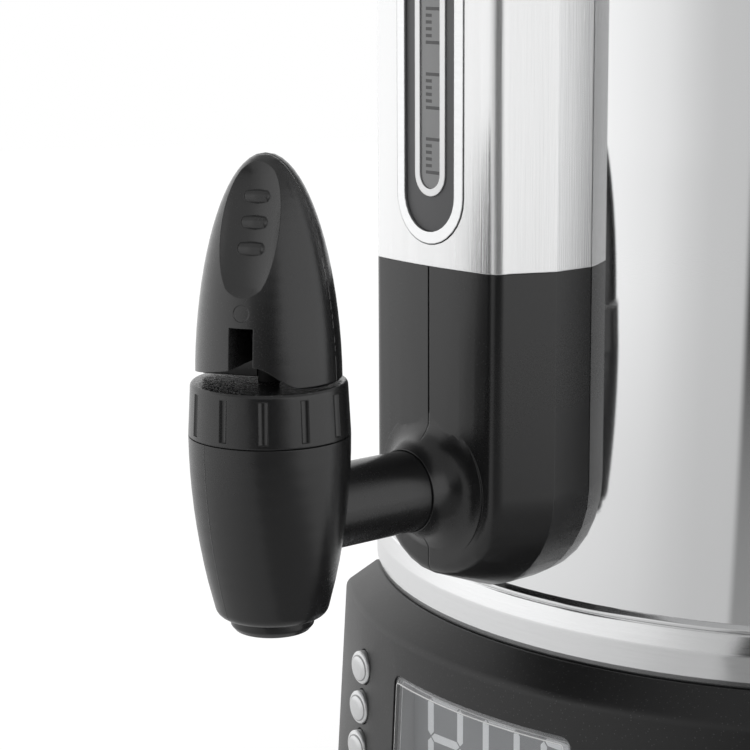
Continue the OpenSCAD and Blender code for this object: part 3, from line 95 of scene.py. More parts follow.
def camera_axes():
    ahead = Vector((-math.sin(CAMERA_TURN) * math.cos(CAMERA_DIP),
                    math.cos(CAMERA_TURN) * math.cos(CAMERA_DIP), -math.sin(CAMERA_DIP)))
    right = Vector((math.cos(CAMERA_TURN), math.sin(CAMERA_TURN), 0))
    up = right.cross(ahead)
    turned_right = math.cos(CAMERA_ROLL) * right + math.sin(CAMERA_ROLL) * up
    turned_up = math.cos(CAMERA_ROLL) * up - math.sin(CAMERA_ROLL) * right
    return turned_right, turned_up, -ahead

lens_data = bpy.data.cameras.new("studio_camera")
lens_data.sensor_width = 36.0
lens_data.lens = lens_data.sensor_width * FOCAL_PIXELS / PICTURE_SIDE
lens_data.clip_start = 0.01
camera = bpy.data.objects.new("studio_camera", lens_data)
camera.matrix_world = Matrix.Translation(CAMERA_PLACE) @ Matrix(camera_axes()).transposed().to_4x4()
bpy.context.scene.collection.objects.link(camera)
bpy.context.scene.camera = camera
bpy.context.scene.view_settings.view_transform = "Standard"
print("camera: lens", round(lens_data.lens, 2), "mm")

# %% [markdown]
# ## Shader maths in Python
# A finish is a small network of nodes. Drawing it by hand in code hides the idea, so one
# class wraps a socket and lets it stand in ordinary sums: `1 - mask` adds a Math node. Any
# other node comes from one method, which takes its type, its settings and its sockets.

# %% Sockets that can be added and compared
class Value:
    """The output of a shader node, for use in Python arithmetic."""

    def __init__(self, recipe, socket):
        self.recipe = recipe
        self.socket = socket

    def out(self, key):
        return Value(self.recipe, self.socket.node.outputs[key])

    def maths(self, operation, *values):
        return self.recipe.add("ShaderNodeMath", {"operation": operation}, dict(enumerate(values)))

    def __add__(self, other):
        return self.maths("ADD", self, other)

    def __sub__(self, other):
        return self.maths("SUBTRACT", self, other)

    def __rsub__(self, other):
        return self.maths("SUBTRACT", other, self)

    def __mul__(self, other):
        return self.maths("MULTIPLY", self, other)

    def __truediv__(self, other):
        return self.maths("DIVIDE", self, other)

    def __rtruediv__(self, other):
        return self.maths("DIVIDE", other, self)

    def __mod__(self, other):
        return self.maths("FLOORED_MODULO", self, other)

    def __lt__(self, other):
        return self.maths("LESS_THAN", self, other)

    def __gt__(self, other):
        return self.maths("GREATER_THAN", self, other)

    def __abs__(self):
        return self.maths("ABSOLUTE", self)

    def __and__(self, other):
        return self.maths("MINIMUM", self, other)

    def __or__(self, other):
        return self.maths("MAXIMUM", self, other)

    __radd__ = __add__
    __rmul__ = __mul__


print("a socket can be added, scaled and compared")

# %% [markdown]
# ## Recipes
# A recipe holds the node tree of one finish. Its method `add` makes any node. The others are short
# names for what many finishes share: noise, a blend of two colours, a soft step, a bump.

# %% Recipes that add nodes
EDGE_RADIUS = 0.35 * MM

class Recipe:
    """The node tree of one finish."""

    def __init__(self, tree):
        self.tree = tree
        tree.nodes.clear()

    def add(self, kind, settings=None, sockets=None, output=0):
        node = self.tree.nodes.new(kind)
        for name, setting in (settings or {}).items():
            if name == "stops":
                self.fill_ramp(node.color_ramp, setting)
            else:
                setattr(node, name, setting)
        for key, value in (sockets or {}).items():
            self.feed(node.inputs[key], value)
        return Value(self, node.outputs[output]) if node.outputs else None

    def feed(self, socket, value):
        if isinstance(value, Value):
            self.tree.links.new(value.socket, socket)
        elif socket.type == "RGBA" and len(value) == 3:
            socket.default_value = (*value, 1.0)
        else:
            socket.default_value = value

    def fill_ramp(self, ramp, stops):
        ramp.elements.remove(ramp.elements[1])
        ramp.elements[0].position = stops[0][0]
        for position, grey in stops[1:]:
            ramp.elements.new(position)
        for element, (position, grey) in zip(ramp.elements, stops):
            element.color = (grey, grey, grey, 1.0)

    def place(self):
        """The point on the surface, in the urn's frame, in metres."""
        return self.add("ShaderNodeTexCoord", output="Object")

    def split(self, vector):
        x = self.add("ShaderNodeSeparateXYZ", None, {0: vector})
        return x, x.out(1), x.out(2)

    def stretched(self, vector, factors):
        return self.add("ShaderNodeVectorMath", {"operation": "MULTIPLY"}, {0: vector, 1: factors})

    def noise(self, vector, scale, detail=2.0):
        return self.add("ShaderNodeTexNoise", None,
                        {"Vector": vector, "Scale": scale, "Detail": detail}, "Fac")

    def blend(self, mask, first, second):
        return self.add("ShaderNodeMix", {"data_type": "RGBA"}, {0: mask, 6: first, 7: second}, 2)

    def soft_step(self, value, start, end, low=0.0, high=1.0):
        return self.add("ShaderNodeMapRange", {"interpolation_type": "SMOOTHSTEP"},
                        {"Value": value, "From Min": start, "From Max": end,
                         "To Min": low, "To Max": high})

    def bump(self, height, distance, under=None):
        sockets = {"Strength": 1.0, "Distance": distance, "Height": height}
        if under:
            sockets["Normal"] = under
        return self.add("ShaderNodeBump", None, sockets)

    def rounded_edge(self):
        return self.add("ShaderNodeBevel", {"samples": 6}, {"Radius": EDGE_RADIUS})

    def principled(self, **sockets):
        named = {name.replace("_", " ").title().replace("Ior", "IOR"): value
                 for name, value in sockets.items()}
        return self.add("ShaderNodeBsdfPrincipled", None, named)


def finish(name, build):
    """A material whose surface is what build(recipe) returns."""
    material = bpy.data.materials.new(name)
    material.use_nodes = True
    recipe = Recipe(material.node_tree)
    recipe.add("ShaderNodeOutputMaterial", None, {"Surface": build(recipe)})
    return material

print("shader maths ready")

# %% [markdown]
# ## The studio
# Polished steel shows the room, so the room is the most important light. Big white sheets
# stand left and right of the urn, and the camera works from a dark gap between them. That
# gap is the dark edge in the jacket and the dark middle of the black barrel. It is as tall as
# the camera, and above it the room is grey. A world shader by direction makes such a room
# without lamps that could be seen. The camera itself sees plain white.

# %% Room light
ROOM_STOPS = [(-180, 1.0), (-140, 1.14), (-60, 1.18), (-25, 1.04), (-10, 0.92), (0, 0.81), (8, 0.65),
              (13, 0.58), (21.2, 0.56), (22.4, 0.04), (58, 0.04), (66, 0.25), (76, 1.05), (110, 1.12),
              (150, 1.05), (180, 1.0)]
CEILING_LEVEL = 0.42
CEILING_FADE = (0.4, 0.8)
GAP_TOP = 0.5
GAP_FADE = (0.06, 0.34)

def room_walls(recipe, x, y):
    """Brightness of the room's walls in the direction (x, y), as a colour."""
    turn = x.maths("ARCTAN2", x, y * -1) / (2 * math.pi) + 0.5
    stops = [((degrees + 180) / 360, grey) for degrees, grey in ROOM_STOPS]
    return recipe.add("ShaderNodeValToRGB", {"stops": stops}, {"Fac": turn})

def make_world():
    world = bpy.data.worlds.new("white_room")
    world.use_nodes = True
    recipe = Recipe(world.node_tree)
    x, y, z = recipe.split(recipe.add("ShaderNodeTexCoord", output="Generated"))
    overhead = recipe.soft_step(z, *CEILING_FADE)
    walls = room_walls(recipe, x, y) | recipe.soft_step(z, *GAP_FADE) * GAP_TOP
    room = recipe.blend(overhead, walls, (CEILING_LEVEL,) * 3)
    seen = recipe.add("ShaderNodeLightPath", output="Is Camera Ray")
    sheets = recipe.add("ShaderNodeBackground", None, {"Color": room, "Strength": 1.0})
    white = recipe.add("ShaderNodeBackground", None, {"Color": (1, 1, 1), "Strength": 1.0})
    both = recipe.add("ShaderNodeMixShader", None, {0: seen, 1: sheets, 2: white})
    recipe.add("ShaderNodeOutputWorld", None, {"Surface": both})
    return world

bpy.context.scene.world = make_world()
darkest = min(grey for degrees, grey in ROOM_STOPS)
dark_turns = [degrees for degrees, grey in ROOM_STOPS if grey == darkest]
print("room: the dark gap reaches from", dark_turns[0], "to", dark_turns[-1], "degrees")

# %% [markdown]
# ## The floor
# A white sheet under the urn, lit from below as on a light table, so that the steel shows it
# nearly as bright as the walls. In the steel it would end in a hard horizon, so far from the
# urn it takes on the brightness of the wall behind it, like a studio's curved backdrop. The
# camera sees it almost as white as the background, with a part of its real shade left in, so
# that the urn's shadow stays.

# %% Floor
FLOOR_RADIUS = 2.2
CURVE_START = 0.2
CURVE_END = 1.4
LIT_SHARE = 0.42
FLOOR_SHADE_KEPT = 0.3
FLOOR_GLOW = 1.26

def floor_finish(recipe):
    place = recipe.place()
    x, y, z = recipe.split(place)
    grain = recipe.noise(place, scale=60.0)
    paper = recipe.principled(base_color=recipe.blend(grain, (0.8, 0.8, 0.8), (0.84, 0.84, 0.84)),
                              roughness=0.9)
    away = recipe.soft_step(x.maths("SQRT", x * x + y * y), CURVE_START, CURVE_END, LIT_SHARE)
    curve = recipe.add("ShaderNodeEmission", None, {"Color": room_walls(recipe, x, y), "Strength": 1.0})
    sheet = recipe.add("ShaderNodeMixShader", None, {0: away, 1: paper, 2: curve})
    glow = recipe.add("ShaderNodeEmission", None, {"Color": (1, 1, 1), "Strength": FLOOR_GLOW})
    shaded = recipe.add("ShaderNodeMixShader", None, {0: 1 - FLOOR_SHADE_KEPT, 1: paper, 2: glow})
    seen = recipe.add("ShaderNodeLightPath", output="Is Camera Ray")
    return recipe.add("ShaderNodeMixShader", None, {0: seen, 1: sheet, 2: shaded})

def make_floor():
    sheet = bmesh.new()
    bmesh.ops.create_circle(sheet, cap_ends=True, radius=FLOOR_RADIUS, segments=96)
    mesh = bpy.data.meshes.new("studio_floor")
    sheet.to_mesh(mesh)
    sheet.free()
    floor = bpy.data.objects.new("studio_floor", mesh)
    floor.data.materials.append(finish("white_paper", floor_finish))
    bpy.context.scene.collection.objects.link(floor)
    return floor

make_floor()
print("floor: a sheet", FLOOR_RADIUS, "m in radius")

# %% [markdown]
# ## Black plastics
# Two blacks meet on the urn. The base is moulded in a spark-eroded tool, so its wall is
# finely grained and the light on it is broad. The tap, the column and the grips come from
# smoother tools and are satin. Both are built from the same function: a dark colour, a grain
# of its own size in the bump and the roughness, and edges rounded by the shader.

# %% Moulded plastic
BLACK = (0.0095, 0.0095, 0.0098)
CLOUDY_BLACK = tuple(1.6 * part for part in BLACK)
# A paler grey for real marks and dust, and for the painted light on the lever's front.
PALE_MARK_AND_LIT_GREY = (0.06, 0.06, 0.06)
SPECK_GREY = (0.12, 0.12, 0.12)
SPECK_SCALE = 900.0
SPECK_SIZE = 0.16
CLOUD_SCALE = 28.0
GLOSS_INDEX = 1.58

def moulded(recipe, grain_scale, grain_depth, roughness, specks=0.0, marks=None, pale=None,
            index=GLOSS_INDEX):
    """Black plastic. Marks and the grain's depth are heights in millimetres."""
    place = recipe.place()
    grain = recipe.noise(place, grain_scale, detail=3.0)
    cloud = recipe.noise(place, CLOUD_SCALE, detail=4.0)
    shade = recipe.blend(cloud, BLACK, CLOUDY_BLACK)
    if specks:
        dots = recipe.add("ShaderNodeTexVoronoi", {"feature": "F1"},
                          {"Vector": place, "Scale": SPECK_SCALE}, "Distance")
        shade = recipe.blend((dots < SPECK_SIZE) * specks, shade, SPECK_GREY)
    if pale:
        shade = recipe.blend(pale, shade, PALE_MARK_AND_LIT_GREY)
    height = grain * grain_depth
    if marks:
        height = height + marks
    return recipe.principled(base_color=shade, ior=index,
                             normal=recipe.bump(height, 1.0 * MM, recipe.rounded_edge()),
                             roughness=roughness + (cloud - 0.5) * 0.12 + (grain - 0.5) * 0.1)

def base_plastic(recipe):
    return moulded(recipe, grain_scale=2600.0, grain_depth=0.04, roughness=0.38, specks=0.3, index=1.5)

def satin(recipe, marks=None, pale=None):
    return moulded(recipe, grain_scale=1800.0, grain_depth=0.012, roughness=0.25, marks=marks, pale=pale)

spark_black = finish("spark_grained_black", base_plastic)
satin_black = finish("satin_black", satin)
print("plastics:", spark_black.name, satin_black.name)

# %% [markdown]
# ## Parting lines
# Where the two halves of a mould meet, a hair of plastic stays on the piece. On the barrel it
# runs down the front in the plane of the arm, and the housing's seam runs down its front but stops
# at its trumpet collar. Such lines are parts of a millimetre high, so they are masks by place that feed
# the bump.

# %% Barrel and housing
LINE_WIDTH = 0.24 * MM
LINE_RISE = 0.09
SEAM_WIDTH = 1.6 * LINE_WIDTH
SEAM_DEPTH = 0.35
COLLAR_REACH = 12.5 * MM
COLLAR_FADE = 3.0 * MM
arm_height = middle("arm_seal").z

def barrel_plastic(recipe):
    x, y, z = recipe.split(recipe.place())
    line = recipe.soft_step(abs(x), LINE_WIDTH, 0.0) * (y < tap_axis.y)
    return satin(recipe, marks=line * LINE_RISE)

def housing_plastic(recipe):
    x, y, z = recipe.split(recipe.place())
    off_arm = recipe.soft_step(abs(z - arm_height), COLLAR_REACH, COLLAR_REACH + COLLAR_FADE)
    seam = recipe.soft_step(abs(x), SEAM_WIDTH, 0.0) * off_arm
    return satin(recipe, marks=seam * -SEAM_DEPTH)

barrel_black = finish("barrel_black", barrel_plastic)
housing_black = finish("housing_black", housing_plastic)
print("parting lines:", round(LINE_WIDTH / MM, 2), "mm and", round(SEAM_WIDTH / MM, 2), "mm wide")

# %% [markdown]
# ## The lever's marks
# On the lever the parting line up the side was trimmed by hand, so it comes and goes: noise that
# changes only with the height breaks it. A round ejector mark sits above the slot, where a pin of
# the mould pushed the piece out. The black of the front is painted paler: painted light, for the light
# that falls on that side.

# %% Lever
SIDE_LINE_AT = 1.1 * MM
SIDE_LINE_WIDTH = 2 * LINE_WIDTH
SIDE_LINE_DEPTH = 0.3
TRIM_SCALE = 420.0
TRIM_RANGE = (0.42, 0.56)
EJECTOR_RADIUS = 2.15 * MM
EJECTOR_EDGE = 0.35 * MM
EJECTOR_RISE = 18.4 * MM
EJECTOR_DEPTH = 0.25
PAINTED_LIT_FRONT_TO = 1.0 * MM
PAINTED_LIT_FRONT_FADE = 7.0 * MM
PAINTED_LIT_FRONT_SHARE = 0.5
lever_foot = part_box("tap_lever")[0].z

def lever_plastic(recipe):
    place = recipe.place()
    x, y, z = recipe.split(place)
    turn_cos, turn_sin = math.cos(LEVER_TURN), math.sin(LEVER_TURN)
    across = x * turn_cos + (y - tap_axis.y) * turn_sin
    ahead = x * turn_sin - (y - tap_axis.y) * turn_cos
    by_height = recipe.noise(recipe.stretched(place, (0.0, 0.0, TRIM_SCALE)), scale=1.0)
    untrimmed = recipe.soft_step(by_height, *TRIM_RANGE)
    side_line = recipe.soft_step(abs(ahead - SIDE_LINE_AT), SIDE_LINE_WIDTH, 0.0) * untrimmed
    rise = z - (lever_foot + EJECTOR_RISE)
    from_mark = x.maths("SQRT", across * across + rise * rise)
    disc = recipe.soft_step(from_mark, EJECTOR_RADIUS, EJECTOR_RADIUS - EJECTOR_EDGE) * (ahead > 0)
    # Painted light: the front is painted paler, as if lit, and the side stays black.
    painted_lit_front = recipe.soft_step(across, PAINTED_LIT_FRONT_TO + PAINTED_LIT_FRONT_FADE, PAINTED_LIT_FRONT_TO) * PAINTED_LIT_FRONT_SHARE
    sunk_disc = disc * EJECTOR_DEPTH
    return satin(recipe, marks=side_line * -SIDE_LINE_DEPTH - sunk_disc, pale=painted_lit_front | sunk_disc)

lever_black = finish("lever_black", lever_plastic)
print("lever: an ejector mark", round(2 * EJECTOR_RADIUS / MM, 2), "mm across")

# %% [markdown]
# ## Dust on the bonnet
# The bonnet's upper face lies under the lever, where no cloth reaches. Dust that stays there is
# paler than the plastic and stands up a little, so one noise feeds both the colour and the bump.

# %% Bonnet
DUST_SCALE = 900.0
DUST_RANGE = (0.5, 0.68)
DUST_PALE = 0.8
DUST_RISE = 0.2
bonnet_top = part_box("tap_bonnet")[1].z

def bonnet_plastic(recipe):
    place = recipe.place()
    x, y, z = recipe.split(place)
    dust = recipe.noise(place, DUST_SCALE, detail=5.0)
    upper_face = recipe.soft_step(z, bonnet_top - 0.4 * MM, bonnet_top - 0.1 * MM)
    pale = upper_face * recipe.soft_step(dust, *DUST_RANGE) * DUST_PALE
    return satin(recipe, marks=upper_face * dust * DUST_RISE, pale=pale)

bonnet_black = finish("bonnet_black", bonnet_plastic)
print("bonnet: dust on the face at z", round(bonnet_top, 4))

# %% [markdown]
# ## Steels
# The jacket is polished like a mirror, the rim a little less, and the gauge's cover is brushed
# upright on a belt. Brushing is noise squeezed across the strokes and drawn out along them: it
# moves the colour and the roughness a little, and the bump enough to widen each reflection. The
# tank is pickled after welding, which leaves it dull. A part of the light on it, and on the
# brushed cover, is scattered.

# %% Steel finishes
BROAD_ACROSS = 9
BROAD_ALONG = 4
FINE_SHARE = 0.6

def brushed(recipe, across, along, depth, roughness, colour, contrast=0.86, mirrored=1.0):
    place = recipe.place()
    strokes = recipe.noise(recipe.stretched(place, (across, across, along)), scale=1.0, detail=3.0)
    wide, tall = across / BROAD_ACROSS, along / BROAD_ALONG
    broad = recipe.noise(recipe.stretched(place, (wide, wide, tall)), scale=1.0)
    darker = tuple(contrast * part for part in colour)
    shade = recipe.blend(strokes * FINE_SHARE + broad * (1 - FINE_SHARE), darker, colour)
    normal = recipe.bump(strokes, depth, recipe.rounded_edge())
    return recipe.principled(base_color=shade, metallic=mirrored, normal=normal,
                             roughness=roughness + (strokes - 0.5) * 0.1)

def polished(recipe):
    place = recipe.place()
    haze = recipe.noise(place, scale=14.0, detail=4.0)
    lines = recipe.noise(recipe.stretched(place, (60.0, 60.0, 5000.0)), scale=1.0)
    shade = recipe.blend(haze, (0.9, 0.905, 0.91), (0.94, 0.945, 0.95))
    return recipe.principled(base_color=shade, metallic=1.0, roughness=0.035 + haze * 0.03,
                             normal=recipe.bump(lines, 0.002 * MM))

def rim_steel(recipe):
    return brushed(recipe, across=300.0, along=6000.0, depth=0.004 * MM, roughness=0.14,
                   colour=(0.9, 0.905, 0.91))

def cover_steel(recipe):
    return brushed(recipe, across=2800.0, along=38.0, depth=0.03 * MM, roughness=0.25,
                   colour=(0.99, 0.993, 0.996), contrast=0.85, mirrored=0.76)

def tank_steel(recipe):
    place = recipe.place()
    cloud = recipe.noise(place, scale=30.0, detail=4.0)
    rings = recipe.noise(recipe.stretched(place, (40.0, 40.0, 2600.0)), scale=1.0)
    shade = recipe.blend(cloud, (0.62, 0.625, 0.63), (0.72, 0.725, 0.73))
    return recipe.principled(base_color=shade, metallic=0.6, roughness=0.34 + rings * 0.1,
                             normal=recipe.bump(rings, 0.004 * MM))

def plain_steel(recipe):
    return brushed(recipe, across=900.0, along=900.0, depth=0.01 * MM, roughness=0.3,
                   colour=(0.62, 0.63, 0.64))

mirror_steel = finish("mirror_polished_steel", polished)
satin_steel = finish("satin_rim_steel", rim_steel)
brushed_steel = finish("upright_brushed_steel", cover_steel)
dull_steel = finish("dull_tank_steel", tank_steel)
fastener_steel = finish("fastener_steel", plain_steel)
print("steels:", mirror_steel.name, satin_steel.name, brushed_steel.name, dull_steel.name)

# %% [markdown]
# ## The sight gauge
# A dark painted panel carries a silver ring, and the ring a grey window printed with a scale:
# pairs of long strokes with short ones between them. The scale is regular, so it is a mask:
# the height is folded by the pitch of the pairs, and again by the pitch of the strokes.

# %% Gauge finishes
GROUP_PITCH = 16.42 * MM
STROKE_PITCH = 1.69 * MM
STROKES = 5
STROKE_HALF = 0.42 * MM
SCALE_START = 4.1 * MM
SCALE_LEFT = -1.85 * MM
LONG_END = 3.55 * MM
SHORT_END = 0.45 * MM
window_low, window_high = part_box("gauge_window")

def window_print(recipe):
    place = recipe.place()
    x, y, z = recipe.split(place)
    climb = (z - (window_low.z + SCALE_START - STROKE_PITCH / 2)) % GROUP_PITCH - STROKE_PITCH / 2
    step = (climb + STROKE_PITCH / 2) % STROKE_PITCH - STROKE_PITCH / 2
    in_group = climb < (STROKES + 0.4) * STROKE_PITCH
    stroke = (abs(step) < STROKE_HALF) & in_group
    at_end = (climb < STROKE_PITCH / 2) | (climb > (STROKES - 0.5) * STROKE_PITCH)
    reach = at_end * (LONG_END - SHORT_END) + SHORT_END
    ink = stroke & (x > SCALE_LEFT) & (x < reach)
    sheen = recipe.noise(place, scale=90.0, detail=3.0)
    glass = recipe.blend(sheen, (0.26, 0.262, 0.265), (0.31, 0.312, 0.315))
    return recipe.principled(base_color=recipe.blend(ink, glass, (0.06, 0.06, 0.062)),
                             roughness=0.16 + sheen * 0.06, coat_weight=0.3)

def panel_paint(recipe):
    place = recipe.place()
    grain = recipe.noise(place, scale=2200.0)
    cloud = recipe.noise(place, scale=60.0)
    shade = recipe.blend(cloud, (0.12, 0.121, 0.125), (0.145, 0.146, 0.15))
    return recipe.principled(base_color=shade, roughness=0.45 + grain * 0.1,
                             normal=recipe.bump(grain, 0.02 * MM))

def silver_print(recipe):
    cloud = recipe.noise(recipe.place(), scale=120.0, detail=3.0)
    shade = recipe.blend(cloud, (0.74, 0.742, 0.745), (0.8, 0.802, 0.805))
    return recipe.principled(base_color=shade, metallic=1.0, roughness=0.36 + cloud * 0.08,
                             normal=recipe.rounded_edge())

scale_window = finish("printed_window", window_print)
panel_grey = finish("panel_grey", panel_paint)
ring_silver = finish("ring_silver", silver_print)
print("gauge: groups of strokes every", round(GROUP_PITCH / MM, 2), "mm")

# %% [markdown]
# ## The display
# Behind the lens lies a flat liquid crystal glass, grey with paler segments, in a grey frame. The
# glass, its segments and the frame glow faintly: painted light, which lifts them out of the shade of
# their recess. The lens itself is clear: real refraction would leave the glass behind it unlit in a
# short render, so the lens is a thin sheet, see-through with a gloss that grows at shallow angles.
# Only its front faces shine, because light inside a real sheet would not be turned back by its rear face.

# %% Display finishes
PAINTED_GLOW_LEVEL = 0.2

# Painted light: the surface gives off its own colour, standing in for light that the recess keeps out.
def painted_glow(recipe, dark, light, scale, roughness):
    cloud = recipe.noise(recipe.place(), scale, detail=3.0)
    shade = recipe.blend(cloud, dark, light)
    return recipe.principled(base_color=shade, emission_color=shade, emission_strength=PAINTED_GLOW_LEVEL,
                             roughness=roughness + cloud * 0.1)

def crystal_glass(recipe):
    return painted_glow(recipe, (0.27, 0.273, 0.278), (0.31, 0.313, 0.318), scale=45.0, roughness=0.3)

def segment_tone(recipe):
    return painted_glow(recipe, (0.78, 0.784, 0.79), (0.86, 0.864, 0.87), scale=300.0, roughness=0.4)

def frame_tone(recipe):
    return painted_glow(recipe, (0.27, 0.272, 0.276), (0.32, 0.322, 0.326), scale=120.0, roughness=0.5)

def see_through(recipe):
    back = recipe.add("ShaderNodeNewGeometry", output="Backfacing")
    gloss_share = recipe.add("ShaderNodeFresnel", None, {"IOR": 1.49}) * (1 - back)
    haze = recipe.noise(recipe.place(), scale=200.0, detail=3.0)
    through = recipe.add("ShaderNodeBsdfTransparent", None, {"Color": (0.93, 0.935, 0.94)})
    gloss = recipe.principled(base_color=(0.9, 0.9, 0.9), metallic=1.0, roughness=0.03 + haze * 0.03)
    return recipe.add("ShaderNodeMixShader", None, {0: gloss_share, 1: through, 2: gloss})

lcd_grey = finish("crystal_grey", crystal_glass)
digit_pale = finish("segment_pale", segment_tone)
frame_grey = finish("frame_grey", frame_tone)
clear_tube = finish("clear_tube", see_through)
print("display:", lcd_grey.name, digit_pale.name, frame_grey.name, clear_tube.name)

# %% [markdown]
# ## The lens's ground edge
# The rim of the lens is ground to a bevel. Ground plastic scatters light, so the bevel looks
# grey, and where it meets the clear face a near-white line is painted on: a painted highlight. Both
# follow the outline, so their mask is the distance from it: that of a box with rounded corners,
# which is a sum of maxima.

# %% Ground edge
LENS_ROUND = 3.0 * MM
BEVEL = 1.9 * MM
EDGE_LINE = 0.3 * MM
PAINTED_LINE_SHARE = 0.85
GROUND_SHARE = 0.22
STREAK_SHARE = 0.3
half_w = (lens_high.x - lens_low.x) / 2
half_h = (lens_high.z - lens_low.z) / 2

def lens_inset(x, z):
    """How far a point lies inside the lens's outline."""
    across = abs(x) - (half_w - LENS_ROUND)
    above = abs(z - lens_centre.z) - (half_h - LENS_ROUND)
    out_x, out_z = across | 0.0, above | 0.0
    corner = x.maths("SQRT", out_x * out_x + out_z * out_z)
    return LENS_ROUND - corner - ((across | above) & 0.0)

def ground_lens(recipe):
    place = recipe.place()
    x, y, z = recipe.split(place)
    inset = lens_inset(x, z)
    line = recipe.soft_step(abs(inset - BEVEL), EDGE_LINE, EDGE_LINE / 3)
    streaks = recipe.noise(recipe.stretched(place, (90.0, 90.0, 1400.0)), scale=1.0, detail=3.0)
    band = (inset < BEVEL) * (GROUND_SHARE + streaks * STREAK_SHARE)
    # The near-white colour on the line is a painted highlight along the bevel's inner edge.
    shade = recipe.blend(line, (0.34, 0.342, 0.345), (0.95, 0.95, 0.95))
    ground = recipe.principled(base_color=shade, roughness=0.3 + streaks * 0.2)
    return recipe.add("ShaderNodeMixShader", None,
                      {0: (line * PAINTED_LINE_SHARE) | band, 1: see_through(recipe), 2: ground})

clear_lens = finish("ground_lens", ground_lens)
print("lens: a bevel", round(BEVEL / MM, 2), "mm wide")

# %% [markdown]
# ## Smaller finishes
# Boards, seals, brass and castings are mostly hidden, but a model is opened and turned. One
# function gives each its colour, its grain and its gloss.

# %% Inner finishes
def plain(name, colour, roughness, metallic=0.0, grain_scale=700.0, grain_depth=0.02, spread=1.25):
    def build(recipe):
        place = recipe.place()
        grain = recipe.noise(place, grain_scale, detail=3.0)
        cloud = recipe.noise(place, grain_scale / 14, detail=3.0)
        shade = recipe.blend(cloud, colour, tuple(min(1.0, spread * part) for part in colour))
        normal = recipe.bump(grain * grain_depth, 1.0 * MM, recipe.rounded_edge())
        return recipe.principled(base_color=shade, metallic=metallic, normal=normal,
                                 roughness=roughness + (grain - 0.5) * 0.15)
    return finish(name, build)

def board_mask(recipe):
    place = recipe.place()
    tracks = recipe.add("ShaderNodeTexBrick", {"offset": 0.5},
                        {"Vector": place, "Scale": 160.0, "Mortar Size": 0.06}, "Fac")
    cloud = recipe.noise(place, scale=90.0, detail=3.0)
    shade = recipe.blend(tracks, (0.03, 0.13, 0.055), (0.05, 0.2, 0.09))
    return recipe.principled(base_color=shade, roughness=0.3 + cloud * 0.15)

foot_rubber = plain("foot_rubber", (0.014, 0.014, 0.014), roughness=0.75, grain_depth=0.05)
board_green = finish("board_green", board_mask)
switch_black = plain("switch_black", (0.03, 0.03, 0.03), roughness=0.4)
stem_black = plain("stem_black", (0.004, 0.004, 0.004), roughness=0.7)
ivory = plain("ivory_plastic", (0.6, 0.56, 0.47), roughness=0.45)
cast_alloy = plain("cast_alloy", (0.6, 0.61, 0.62), roughness=0.45, metallic=1.0, grain_scale=1200.0,
                   grain_depth=0.06)
heat_dulled = plain("heat_dulled_steel", (0.24, 0.235, 0.24), roughness=0.45, metallic=1.0, spread=1.6)
turned_brass = plain("turned_brass", (0.62, 0.47, 0.2), roughness=0.28, metallic=1.0)
red_silicone = plain("red_silicone", (0.36, 0.06, 0.045), roughness=0.55)
white_silicone = plain("white_silicone", (0.68, 0.66, 0.61), roughness=0.5)
print("inner finishes made")

# %% [markdown]
# ## The buttons
# The caps are plated plastic with a shallow groove round a flat face. They point the same way
# and stand in a row, so one mask serves all three: the height is folded by their spacing, and
# the distance from the fold's middle draws the groove. The groove is also painted dark: painted shade.

# %% Button caps
BUTTON_AIM = math.radians(10.0)
GROOVE_RADIUS = 3.75 * MM
GROOVE_HALF = 0.3 * MM
GROOVE_DEPTH = 0.2
GROOVE_PAINTED_SHADE = 0.6
CAP_GRAIN = 0.006
cap_middle = middle("button_middle")
cap_spacing = middle("button_upper").z - cap_middle.z

def cap_plating(recipe):
    place = recipe.place()
    x, y, z = recipe.split(place)
    across = (x - cap_middle.x) * math.cos(BUTTON_AIM) - (y - cap_middle.y) * math.sin(BUTTON_AIM)
    rise = (z - (cap_middle.z - cap_spacing / 2)) % cap_spacing - cap_spacing / 2
    from_middle = x.maths("SQRT", across * across + rise * rise)
    groove = recipe.soft_step(abs(from_middle - GROOVE_RADIUS), GROOVE_HALF, 0.0)
    grain = recipe.noise(place, scale=900.0, detail=3.0)
    plating = recipe.blend(grain, (0.7, 0.705, 0.71), (0.78, 0.785, 0.79))
    # Painted shade: the plating is darkened inside the groove.
    shade = recipe.blend(groove * GROOVE_PAINTED_SHADE, plating, (0.12, 0.12, 0.12))
    height = grain * CAP_GRAIN - groove * GROOVE_DEPTH
    return recipe.principled(base_color=shade, metallic=0.8, roughness=0.26 + grain * 0.08,
                             normal=recipe.bump(height, 1.0 * MM, recipe.rounded_edge()))

silver_cap = finish("silver_cap", cap_plating)
print("buttons:", round(cap_spacing / MM, 2), "mm apart")

# %% [markdown]
# ## Finishes onto solids
# Each solid gets one material. The list is by finish, because that is how a maker thinks of a
# bill of materials: what comes out of the same press or off the same belt looks the same.

